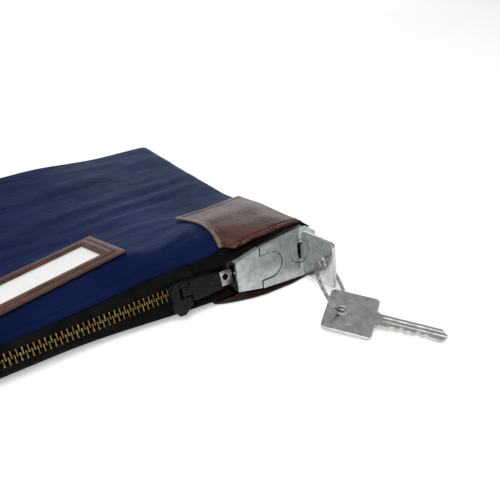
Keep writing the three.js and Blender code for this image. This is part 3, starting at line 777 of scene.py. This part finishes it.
def vinyl_upper():
    s_values = stations((0, 0.08, 8), (0.08, 1, 44), (1, 2, 15))
    t_values = stations((0, 0.1, 16), (0.1, 0.92, 30), (0.92, 1, 9))
    points = np.array([[patch_point(s, t) for t in t_values] for s in s_values])
    mesh = thickened(grid_mesh("patch", points), 1.15, 1)
    corner = place("vinyl_corner", mesh, WORLD, "bag", VINYL, ["patch_upper"], 60)
    corner.data.materials.append(HIGHLIGHT_RIM_VINYL)
    to_bag = WORLD.inverted()
    for polygon in corner.data.polygons:
        x, y, _ = to_bag @ polygon.center
        t = (y - patch_front(x)) / (patch_far(x) - patch_front(x))
        inside = min(x - patch_left(t), patch_far(x) - y)
        # Faces along the folded rim take the light beige vinyl, a painted highlight.
        polygon.material_index = int(inside < HIGHLIGHT_RIM_W and x < PATCH_EDGE - 2)
    path = []
    for s in np.linspace(0.01, 1.2, 90):
        x = mix(patch_left(0), PATCH_EDGE - PATCH_ROUND, min(s, 1))
        p = patch_point(s, PATCH_SEAM / (patch_far(x) - patch_front(x)))
        path.append((p[0], p[1], p[2] + 0.1))
    place("vinyl_stitches", stitch_mesh(path, 2.0, 0.75, 0.24), WORLD, "bag", BROWN_THREAD)


def vinyl_lower():
    """The vinyl under the bag's corner: a lip that shows below the lock, then the underside."""
    lip = [(219, 0.5), (224, -2.2), (231, -4.6), (238, -6.6), (246, -8.0), (263, -8.6), (276, -7.2),
           (283, -4.0)]
    lock_half = [(0, LOCK_END_H), (NOSE_L, NOSE_H), (APEX_X, APEX_H), (LOCK_L, 10)]
    points = []
    for x in np.linspace(219, 283.6, 52):
        front = along(lip, x)
        crest = LOCK_Z - along(lock_half, x - LOCK_X) * cos(radians(LOCK_LEAN)) - 1.0
        crest = mix(2.6, max(min(crest, 6.4), 1.9), smooth(224, 234, x))
        start = mix(1.5, -4.4, smooth(222, 231, x))
        path = [(start, crest), (mix(start, front, 0.45), mix(crest, 1.6, 0.45)),
                (mix(start, front, 0.85), mix(crest, 1.3, 0.8)), (front, 1.0), (front + 0.3, 0.5),
                (front + 1.2, 0.1)]
        path += [(mix(front + 3, UNDER_PATCH_FAR, t), 0.0) for t in np.linspace(0, 1, 8)]
        points.append([(x, y, z + 0.25 * noise.noise((x * 0.2, y * 0.2, 0)) * (z > 0.6)) for y, z in path])
    mesh = thickened(grid_mesh("under", np.array(points)[::-1]), 0.9, 1)
    # The underside's dark vinyl is painted shade.
    place("vinyl_underside", mesh, WORLD, "bag", SHADED_UNDER_VINYL, ["patch_lower"], 60)


# ---- zip

def curve_through(points, n=28):
    """A smooth curve through points (Catmull-Rom), as n + 1 points."""
    p = [Vector(q) for q in points]
    p = [p[0] * 2 - p[1]] + p + [p[-1] * 2 - p[-2]]
    out = []
    for i in range(n + 1):
        u = i / n * (len(p) - 3)
        k = min(int(u), len(p) - 4)
        t = u - k
        a, b, c, d = p[k:k + 4]
        out.append(0.5 * (2 * b + (c - a) * t + (2 * a - 5 * b + 4 * c - d) * t * t
                          + (3 * b - 3 * c + d - a) * t ** 3))
    return out


def chain_point(x, back, up):
    """A point of the zip's leaning frame, in the bag's."""
    c, s = cos(radians(CHAIN_LEAN)), sin(radians(CHAIN_LEAN))
    return x, CHAIN_Y + back * c + up * s, CHAIN_Z - back * s + up * c


def zip_tapes():
    upper, lower = [], []
    for x in np.arange(1.0, 230.6, 2.4):
        edge = hem_y(x)
        hem = nylon_top(x, edge)
        crown = chain_point(x, 0, 5.8)
        crest = (x, mix(crown[1], edge + 0.8, 0.5), mix(crown[2], hem, 0.42) + 0.25)
        path = [chain_point(x, -0.25, 2.6), chain_point(x, -0.1, 4.2), crown, crest,
                (x, edge + 0.2, hem - 0.3), (x, edge + 3.3, hem - 1.0),
                (x, 25, nylon_top(x, 25) - 3.0)]
        upper.append(curve_through(path))
        shift = -8 * smooth(140, 229, x)
        path = [chain_point(x, -0.25, -2.6), chain_point(x, -0.1, -4.2), chain_point(x, 0.2, -5.8),
                (x, 7.4 + shift, 4.4), (x, 9.4 + shift, 2.5), (x, 14 + shift * 0.8, 1.75), (x, 24, 1.7)]
        lower.append(curve_through(path))
    for name, rows, node in (("top", upper, "upper"), ("bottom", lower[::-1], "lower")):
        mesh = thickened(grid_mesh("tape", np.array(rows)), 0.7)
        place(f"zip_tape_{name}", mesh, WORLD, "bag", TAPE, [f"zip_tape_{node}"], 60)


def tape_over_lock():
    """The black tape that runs on from the zip tape over the lock's housing."""
    rise = [(-6, 4.0), (0, 8.5), (NOSE_L, 12.1), (28, 13.4), (APEX_X, 14.55), (47, 13.65),
            (LOCK_L, 10.1), (53.4, 4.5)]
    fall = sin(radians(LOCK_LEAN))
    points = []
    for x in np.linspace(220.5, 282, 48):
        height = LOCK_Z + along(rise, x - LOCK_X) * cos(radians(LOCK_LEAN))
        edge = hem_y(x)
        hem = nylon_top(x, edge)
        crown = chain_point(x, -0.3, 5.8)
        crest = (x, mix(crown[1], edge, 0.5), mix(crown[2], hem, 0.45) + 0.5)
        by_zip = [chain_point(x, -0.5, 4.2), crown, crest, (x, edge, hem - 0.3), (x, edge + 3, hem - 1.2)]
        by_lock = [(x, 1.75, height - 0.05), (x, 1.9, height + 0.1), (x, 2.7, height + 0.1),
                   (x, 5, height - 5 * fall - 0.9), (x, 12, height - 12 * fall - 1.6)]
        share = smooth(221, 233, x)
        path = [tuple(mix(p, q, share) for p, q in zip(a, b)) for a, b in zip(by_zip, by_lock)]
        points.append(curve_through(path, 16))
    mesh = thickened(grid_mesh("tail", np.array(points)), 0.6)
    place("tape_over_lock", mesh, WORLD, "bag", TAPE, ["tape_tail"], 60)


def tooth_mesh(x, side):
    """One zip tooth: a rounded head, a waist, and the legs that grip the bead."""
    sections = [(-0.8, 0.24, 0.55), (-0.66, 0.4, 0.85), (-0.35, 0.47, 1.05), (0.3, 0.46, 1.1),
                (1.0, 0.38, 0.95), (1.7, 0.4, 1.0), (2.4, 0.46, 1.2), (3.0, 0.44, 1.15), (3.15, 0.34, 0.95)]
    rings = []
    for up, half_x, half_y in sections:
        ring = []
        for i in range(12):
            a = 2 * pi * (i + 0.5) / 12
            c, s = cos(a), sin(a)
            px = half_x * copysign(abs(c) ** 0.55, c)
            py = half_y * copysign(abs(s) ** 0.55, s)
            ring.append((x + 0.45 + px, py, side * up))
        rings.append(ring if side > 0 else ring[::-1])
    return loft_mesh("tooth", rings)


def bead_mesh(side):
    """The cord along the tape's edge that the teeth are clamped on."""
    section = circle(0, side * 2.75, 0.55, 10)
    return loft_mesh("bead", [[(x, y, z) for y, z in section] for x in np.arange(2, 221.5, 3)])


def zip_teeth():
    for name, side, first in (("upper", 1, 0.9), ("lower", -1, 0.9 + TOOTH_PITCH / 2)):
        xs = np.arange(CHAIN_X0 + first, CHAIN_X1 - 0.9, TOOTH_PITCH)
        teeth = joined(*[tooth_mesh(x, side) for x in xs])
        place(f"zip_teeth_{name}", teeth, CHAIN, "bag", BRASS, [f"teeth_{name}"], 50)
        place(f"zip_bead_{name}", bead_mesh(side), CHAIN, "bag", TAPE)


def zip_stops():
    for name, x0, x1 in (("stop_left", 6.2, 9.6), ("stop_right", 214, 217)):
        staple = block(x0, x1, -1.3, 1.3, -3.1, 3.1, 0.45)
        place(f"zip_{name}", staple, CHAIN, "bag", BRASS, [name])


def slider():
    x0, x1 = SLIDER_X - 3.2, SLIDER_X + SLIDER_L / 2
    outline = rounded([(x0, -3.4), (x0 + 3.4, -4.7), (x1, -4.7), (x1, 4.7), (x0 + 3.4, 4.7), (x0, 3.4)], 1.2)
    shell = plate([outline], -2.9, -1.6, 0.35)
    lips = [block(x0 + 3, x1 - 0.3, -2.4, -1.0, z - 0.55, z + 0.55, 0.3) for z in (-4.1, 4.1)]
    cheeks = [block(HINGE_X - 2.4, HINGE_X + 2.2, -7.2, -2.4, z - 0.7, z + 0.7, 0.4) for z in (3.6, -3.6)]
    right = HINGE_X + 3.2
    housing = rounded([(196.6, -2.5), (197.6, -6.2), (right, -6.2), (right, -2.9), (201, -2.9),
                       (201, 2.9), (right, 2.9), (right, 4.6), (199.6, 4.8), (196.8, 1.5)],
                      [2, 1, 0.3, 0.3, 0.6, 0.6, 0.3, 0.5, 1.6, 1.5])
    lug = rounded([(195.9, -4), (195.7, -8), (198.4, -11.4), (201.4, -11.5), (204, -9.6), (right, -7.4),
                   (right, -4)], [0.5, 1.5, 1.5, 1.5, 1.2, 0.8, 0.5])
    front = [plate([housing], -6.0, -2.6, 0.5, 3), plate([lug], -6.1, -4.8, 0.5, 3)]
    mesh = joined(shell, *lips, *cheeks, *front)
    place("slider_front", mesh, CHAIN, "slider", LACQUER, ["slider_body"])
    outline = rounded([(x0, -2.9), (x0 + 3, -4), (x1, -4), (x1, 4), (x0 + 3, 4), (x0, 2.9)], 1.0)
    place("slider_back", plate([outline], 1.5, 2.4, 0.25), CHAIN, "slider", LACQUER,
          ["slider_back_plate"])
    pin = turned([(0.5, -4.45), (0.8, -4.3), (0.8, 4.3), (0.5, 4.45)], 20, (HINGE_X, -PULL_OFFSET, 0))
    place("hinge_pin", pin, CHAIN, "slider", LACQUER, ["pull_pin"])


def pull():
    """Two plates with a spine and edges between them, the knuckle, the tongue and its rivet."""
    mid = -PULL_OFFSET
    y0, y1 = mid - PULL_T / 2, mid + PULL_T / 2
    left = HINGE_X + 3.7
    corners = [(left, PULL_BOTTOM[0]), (PULL_END_X, PULL_BOTTOM[1]), (PULL_END_X, PULL_TOP[1]),
               (left, PULL_TOP[0])]
    outline = rounded(corners, [1.2, 0.7, 0.7, 0.8], 8)
    halves = [plate([outline], y0, mid - 0.62, 0.4, 3), plate([outline], mid + 0.62, y1, 0.25)]
    spine = block(left + 0.6, 211.5, mid - 0.7, mid + 0.7, -5.6, 3.4, 0.1)
    edges = [block(211, PULL_END_X - 0.4, mid - 0.7, mid + 0.7, low, high, 0.1)
             for low, high in ((-5.6, -5.1), (2.8, 3.2))]
    knuckle = turned([(1.0, -2.5), (1.3, -2.35), (1.3, 2.35), (1.0, 2.5)], 28, (HINGE_X, mid, 0))
    web = block(HINGE_X - 1.2, left + 1.2, y0 + 0.4, y1 - 0.5, -2.4, 2.4, 0.2)
    mesh = joined(*halves, spine, *edges, knuckle, web)
    place("pull_plate", mesh, CHAIN, "pull", LACQUER, ["pull_grip"])
    strip = oblong(212, TONGUE_TIP_X, TONGUE_Z - TONGUE_HALF_W, TONGUE_Z + TONGUE_HALF_W)
    holes = [circle(TONGUE_HOLE_X, TONGUE_Z + 0.5, TONGUE_HOLE_R), circle(RIVET_X, 0, 1.6)]
    tongue = plate([rounded(strip, [0.2, 0.9, 0.9, 0.2]), *holes], mid - TONGUE_T / 2,
                   mid + TONGUE_T / 2, 0.14)
    place("latch_tongue", tongue, CHAIN, "pull", STEEL, ["tongue"])
    rivet = turned([(0.2, y0 - 0.42), (0.9, y0 - 0.34), (1.5, y0 - 0.05), (1.4, y0 + 0.3),
                    (1.4, y1 - 0.3), (1.5, y1 + 0.05), (0.2, y1 + 0.2)], 28, (RIVET_X, 0, 0), upright=False)
    place("pull_rivet", rivet, CHAIN, "pull", LACQUER, ["tongue_rivet"])


# ---- lock

def face_half(u):
    """Half the height of the lock's face plate at u from its left end."""
    return along([(0, LOCK_END_H), (NOSE_L, NOSE_H), (28, 12.92), (APEX_X, APEX_H), (47, 13.2),
                  (LOCK_L, 9.5)], u)


def pin_bores(radius, bottom, top):
    """Cutters for the upright holes that hold the pins."""
    return [turned([(radius, bottom), (radius, top)], 16, (PLUG_X, y, 0)) for y in STACK_YS]


def pad_arc(radius, sense):
    """The rounded end of the tab, from the top to the bottom or back."""
    angles = [pi / 2 - pi * i / 24 for i in range(25)]
    points = [(PAD_X + radius * cos(a), radius * sin(a)) for a in angles]
    return points if sense > 0 else points[::-1]


def nose_piece():
    """The fixed left-hand end of the lock, with the tab that runs into the moving block."""
    seam = NOSE_L - 0.25
    low = [(0, -LOCK_END_H), (seam, -face_half(seam)), (seam, -PAD_R)]
    outline = low + pad_arc(PAD_R, -1) + [(x, -z) for x, z in reversed(low)]
    front = plate([outline], 0.45, 2.1, 0.22, 3)
    wall = 1.3
    top = [(0.05, LOCK_END_H - 0.05), (0.05, LOCK_END_H - wall), (seam, face_half(seam) - wall),
           (seam, face_half(seam) - 0.05)]
    skirt = [plate([[(x, sign * z) for x, z in top]], 1.6, 6.1, 0.05, 1) for sign in (1, -1)]
    place("lock_nose", joined(front, *skirt), LOCK, "bag", NICKEL, ["nose_plate"])


def block_piece():
    """The moving block: the face plate with its notch for the tab, and the barrel behind it."""
    seam = NOSE_L + 0.15
    right = [(seam, -face_half(seam)), (28, -face_half(28)), (APEX_X, -APEX_H), (47, -13.2), (LOCK_L, -9.5)]
    corners = right + [(x, -z) for x, z in reversed(right)]
    notch = [(seam, PAD_R + 0.4)] + pad_arc(PAD_R + 0.4, 1) + [(seam, -PAD_R - 0.4)]
    softened = rounded(corners, [0, 0, 3, 3, 1.6, 1.6, 3, 3, 0, 0])
    bore = circle(PLUG_X, PLUG_Z, PLUG_R + 0.35, 64)
    face = plate([softened + notch, bore], 0, 3.0, 0.22, 3)
    floor = plate([rounded(oblong(seam, 29.5, -8, 8), 0.5)], 2.4, 2.95, 0.05, 1)
    stack = rounded([(33.4, -6.2), (48.6, -6.2), (48.6, 7), (44.6, 11.6), (37.4, 11.6), (33.4, 7)], 0.8)
    barrel = plate([stack, bore], 2.5, 27, 0.2)
    cap_slot = block(PLUG_X - 2.6, PLUG_X + 2.6, 3.6, 28, 11.0, 13)
    bolt_slot = block(PLUG_X + 5, 50, 14.6, 19.4, -1.9, 1.9)
    mesh = joined(face, floor, cut(barrel, pin_bores(1.25, PLUG_Z + 5, 13) + [cap_slot, bolt_slot]))
    place("lock_face", mesh, LOCK, "block", NICKEL, ["lock_block"])


def plug_piece():
    """The plug: a disc-faced cylinder with a keyway and a groove for its clip."""
    half = KEY_T / 2 + KEY_PLAY
    low, high = PLUG_Z + BLADE_BOTTOM - KEY_PLAY, PLUG_Z + BLADE_TOP + KEY_PLAY
    keyway = rounded(oblong(PLUG_X - half, PLUG_X + half, low, high), 0.4)
    corners = [(-1.5, low - 0.3), (1.5, low - 0.3), (1.7, PLUG_Z), (2.6, PLUG_Z + 1.6),
               (1.8, high + 0.6), (-2.1, high + 0.6), (-2.1, PLUG_Z)]
    funnel = rounded([(PLUG_X + x, z) for x, z in corners], 0.5)
    disc = plate([circle(PLUG_X, PLUG_Z, PLUG_R, 64), funnel], 0.15, 2.4, 0.3)
    body = plate([circle(PLUG_X, PLUG_Z, PLUG_R, 64), keyway], 2.3, PLUG_L, 0.1)
    bores = pin_bores(1.15, PLUG_Z + 2, PLUG_Z + 8)
    tail = [plate([circle(PLUG_X, PLUG_Z, radius, 40), keyway], PLUG_L + y0, PLUG_L + y1, 0.05, 1)
            for radius, y0, y1 in ((4.6, -0.1, 0.45), (4.15, 0.4, 1.3), (4.6, 1.25, 1.9))]
    # A thin black plate at the bottom of the keyway's funnel: painted shade for the dark inside of the
    # keyhole.
    shade = plate([[(PLUG_X + (x - PLUG_X) * 1.2, z) for x, z in funnel], keyway], 2.1, 2.35, 0.02, 1)
    place("keyway_painted_shade", shade, LOCK, "plug", LACQUER)
    place("lock_plug", joined(disc, cut(body, bores), *tail), LOCK, "plug", NICKEL, ["plug"])


# ---- keys and ring

# The cut edge of the blade as (distance along it, height), from the shoulder to the tip.
BITTING = [(4.6, BLADE_BOTTOM), (6.0, -2.8), (7.0, -2.8), (8.2, -3.4), (9.8, -1.9), (10.8, -1.9),
           (12.2, -3.5), (13.8, -2.5), (14.8, -2.5), (15.9, -3.3), (17.6, -1.6), (18.6, -1.6),
           (19.9, -3.4), (21.4, -2.2), (22.4, -2.2), (23.6, -3.3)]


def key_mesh():
    """A flat key in the plane x = 0: its blade along +y from y = 0 and its bow towards -y."""
    far = -BOW_GAP - BOW_L
    h = BOW_H / 2
    bow = rounded(oblong(far, -BOW_GAP, -h, h), 2.6, 8)
    hole = circle(far + KEY_HOLE_IN, 0, KEY_HOLE_R)
    head = plate([bow, hole], -KEY_T / 2, KEY_T / 2, 0.28, 3)
    neck, shoulder, tip = -BOW_GAP - 1, -0.9, BLADE_L - 2.5
    blade = [(neck, -4.2), (shoulder, -4.2), (shoulder, BLADE_BOTTOM), *BITTING,
             (tip - 2.1, BLADE_BOTTOM + 0.3), (tip, -0.6), (tip, 0.4), (tip - 2.7, BLADE_TOP - 0.3),
             (shoulder, BLADE_TOP), (shoulder, 4.4), (neck, 4.4)]
    shaft = plate([blade], -KEY_T / 2 + 0.05, KEY_T / 2 - 0.05, 0.12)
    grooves = []
    for z, depth, width in ((1.75, 0.5, 1.0), (-0.55, 0.38, 0.75)):
        for sign in (1, -1):
            y = sign * KEY_T / 2
            grooves.append(block(1.0, BLADE_L + 2, y - depth, y + depth, z - width / 2, z + width / 2))
    shaft = cut(shaft, grooves)
    ring = [circle(far + BOW_L / 2, 0, 8.0), circle(far + BOW_L / 2, 0, 7.5)]
    marks = [plate(ring, y - 0.14, y + 0.14, 0.02, 1) for y in (-KEY_T / 2, KEY_T / 2)]
    mesh = joined(cut(head, marks), shaft)
    # plate() lies across y with its length on x: turn it so that its length is y and its thickness is x.
    mesh.transform(Matrix(((0, 1, 0, 0), (1, 0, 0, 0), (0, 0, 1, 0), (0, 0, 0, 1))))
    mesh.flip_normals()
    return mesh


def keys():
    held = key_mesh()
    held.transform(Matrix.Translation((PLUG_X, 0, PLUG_Z)))
    place("held_key", held, LOCK, "key", KEY, ["key_in_lock"])
    yaw, pitch, roll = (radians(v) for v in SPARE_TURNS)
    long = Vector((cos(yaw) * cos(pitch), sin(yaw) * cos(pitch), -sin(pitch)))
    side = Matrix.Rotation(roll, 3, long) @ Vector((-sin(yaw), cos(yaw), 0))
    face = long.cross(side)
    basis = Matrix((face, long, side)).transposed().to_4x4()
    spare = key_mesh()
    to_hole = Matrix.Translation((0, BOW_GAP + BOW_L - KEY_HOLE_IN, 0))
    place("loose_key", spare, WORLD @ Matrix.Translation(SPARE_HOLE) @ basis @ to_hole, "spare",
          KEY, ["spare_key"])


def split_ring():
    """Two close turns of wire: it steps from the first turn to the second over a short crossing."""
    curve = bpy.data.curves.new("ring", "CURVE")
    curve.dimensions = "3D"
    curve.bevel_depth = 0.52
    curve.bevel_resolution = 4
    curve.use_fill_caps = True
    spline = curve.splines.new("POLY")
    per_turn, offset = 96, 0.5
    spline.points.add(2 * per_turn - 4)
    for i, point in enumerate(spline.points):
        a = 2 * pi * i / per_turn
        step = mix(-offset, offset, smooth(2 * pi - 0.45, 2 * pi + 0.45, a))
        point.co = (RING_R * cos(a), RING_R * sin(a), step, 1)
    mesh = evaluated(loose_object("ring", curve))
    turn = RING_NORMAL.to_track_quat("Z", "X").to_matrix().to_4x4()
    place("split_ring", mesh, WORLD @ Matrix.Translation(RING_CENTRE) @ turn, "ring", WIRE,
          ["key_ring"])


# ---- label holder

def holder_loop(share, per_side):
    """Points (a, b) round the holder, a fixed share of each rail's width in from its edge."""
    corners = oblong(share * RAIL_END, HOLDER_L - share * RAIL_END,
                     share * RAIL_NEAR, HOLDER_W - share * RAIL_FAR)
    return [(mix(p[0], q[0], i / per_side), mix(p[1], q[1], i / per_side))
            for p, q in zip(corners, corners[1:] + corners[:1]) for i in range(per_side)]


def holder_frame():
    """Four mitred rails of turned vinyl: an outer flange, a groove of stitching and an inner roll."""
    profile = [(0.0, 1.75), (0.01, 2.3), (0.04, 2.7), (0.1, 2.9), (0.3, 3.0), (0.4, 2.92), (0.44, 2.6),
               (0.48, 2.6), (0.52, 3.2), (0.58, 3.52), (0.7, 3.66), (0.82, 3.52), (0.86, 3.3), (0.9, 3.4),
               (0.95, 3.3), (0.985, 2.9), (1.0, 2.4), (1.0, 2.06)]
    loops = []
    for share, lift in profile:
        wobble = 0.1 if lift > 2.3 else 0
        loops.append([holder_point(a, b, lift + wobble * noise.noise((a * 0.15, b * 0.15, 7)))
                      for a, b in holder_loop(share, 16)])
    mesh = welded(loft_mesh("frame", loops, caps=False))
    place("holder_frame", mesh, WORLD, "bag", RAIL_VINYL,
          [f"holder_rail_{side}" for side in ("near", "far", "left", "right")])
    stitches = []
    for share, lift in ((0.46, 2.66), (0.86, 3.36)):
        path = [holder_point(a, b, lift) for a, b in holder_loop(share, 24)]
        stitches.append(stitch_mesh(path + path[:1], 1.9, 0.6, 0.2))
    place("holder_stitches", joined(*stitches), WORLD, "bag", BROWN_THREAD)


def slab(a0, a1, b0, b1, lift, thickness, name):
    """A flat sheet on the holder's slope with a slightly uneven face."""
    points = np.array([[holder_point(a, b, lift + 0.05 * noise.noise((a * 0.06, b * 0.06, 9)))
                        for b in np.linspace(b0, b1, 10)] for a in np.linspace(a0, a1, 32)])
    return thickened(grid_mesh(name, points), thickness)


def holder_inserts():
    a1, b0, b1 = HOLDER_L - RAIL_END + 1.5, RAIL_NEAR - 1.5, HOLDER_W - RAIL_FAR + 1.5
    place("name_card", slab(2, a1, b0, b1, 1.5, 0.25, "card"), WORLD, "card", CARD, ["label_card"])
    place("window_film", slab(2, a1, b0, b1, 1.95, 0.12, "film"), WORLD, "bag", FILM,
          ["clear_window"])
    seat = slab(0.3, HOLDER_L - 0.3, 0.3, HOLDER_W - 0.3, 1.05, 0.5, "seat")
    place("holder_backing_sheet", seat, WORLD, "bag", TAPE, ["holder_backing"])


# ---- carried-over CAD nodes

def finish_cad_nodes():
    """Gives the CAD pieces that are kept, all inside the lock, their metals."""
    steel = ["lock_base", "base_screw_left", "base_screw_right", "backing_plate", "return_spring",
             "latch_arm", "latch_screw_left", "latch_screw_right", "lock_bolt", "plug_clip"]
    brass = ["chamber_cap"]
    for i in range(1, len(STACK_YS) + 1):
        steel.append(f"pin_spring_{i}")
        brass += [f"key_pin_{i}", f"driver_pin_{i}"]
    for names, metal in ((steel, STEEL), (brass, BRASS)):
        for name in names:
            for material_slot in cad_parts[name].material_slots:
                material_slot.material = metal


# ---- stage, light and camera

FLOOR_HALF, FLOOR_Z = 2700, -0.15
CAMERA_AT = (-0.04101, -0.31119, 0.18383)  # metres
CAMERA_TURNS = (-34.24, 32.34, -1.19)  # azimuth, elevation and roll in degrees
LENS = 41.64


def floor():
    corners = oblong(-FLOOR_HALF, FLOOR_HALF, -FLOOR_HALF, FLOOR_HALF)
    mesh = mesh_of("floor", [(x, y, FLOOR_Z) for x, y in corners], [(0, 1, 2, 3)])
    mesh.transform(Matrix.Scale(MM, 4))
    mesh.materials.append(floor_material())
    loose_object("floor", mesh)


def area_light(name, at, aim, size, power, colour=(1, 1, 1)):
    data = bpy.data.lights.new(name, "AREA")
    data.shape = "RECTANGLE"
    data.size, data.size_y = size
    data.energy = power
    data.color = colour
    light = loose_object(name, data)
    light.location = at
    light.rotation_euler = (Vector(aim) - Vector(at)).to_track_quat("-Z", "Y").to_euler()


def lights():
    world = bpy.data.worlds.new("studio")
    world.use_nodes = True
    background = world.node_tree.nodes["Background"]
    background.inputs["Color"].default_value = (1, 1, 1, 1)
    background.inputs["Strength"].default_value = 0.5
    scene.world = world
    area_light("top_softbox", (-0.35, -0.35, 1.1), (0.05, -0.03, 0), (1.1, 1.1), 9.5)
    area_light("low_back_strip", (0.6, 0.9, 0.16), (0.05, 0, 0), (0.8, 0.14), 1.4, (0.75, 0.87, 1.0))
    area_light("front_fill", (-0.5, -0.75, 0.5), (0.08, -0.08, 0), (0.6, 0.4), 3.4)


def camera():
    azimuth, elevation, roll = (radians(v) for v in CAMERA_TURNS)
    data = bpy.data.cameras.new("camera")
    data.lens = LENS
    data.clip_start = 0.01
    obj = loose_object("camera", data)
    tilt = Matrix.Rotation(pi / 2 - elevation, 4, "X") @ Matrix.Rotation(roll, 4, "Z")
    obj.matrix_world = Matrix.Translation(CAMERA_AT) @ Matrix.Rotation(azimuth, 4, "Z") @ tilt
    scene.camera = obj


scene.view_settings.view_transform = "Standard"
for build in (upper_nylon, lower_nylon, hem_stitches, vinyl_upper, vinyl_lower, zip_tapes, tape_over_lock,
              zip_teeth, zip_stops, slider, pull, nose_piece, block_piece, plug_piece, keys, split_ring,
              holder_frame, holder_inserts, finish_cad_nodes, floor, lights, camera):
    build()
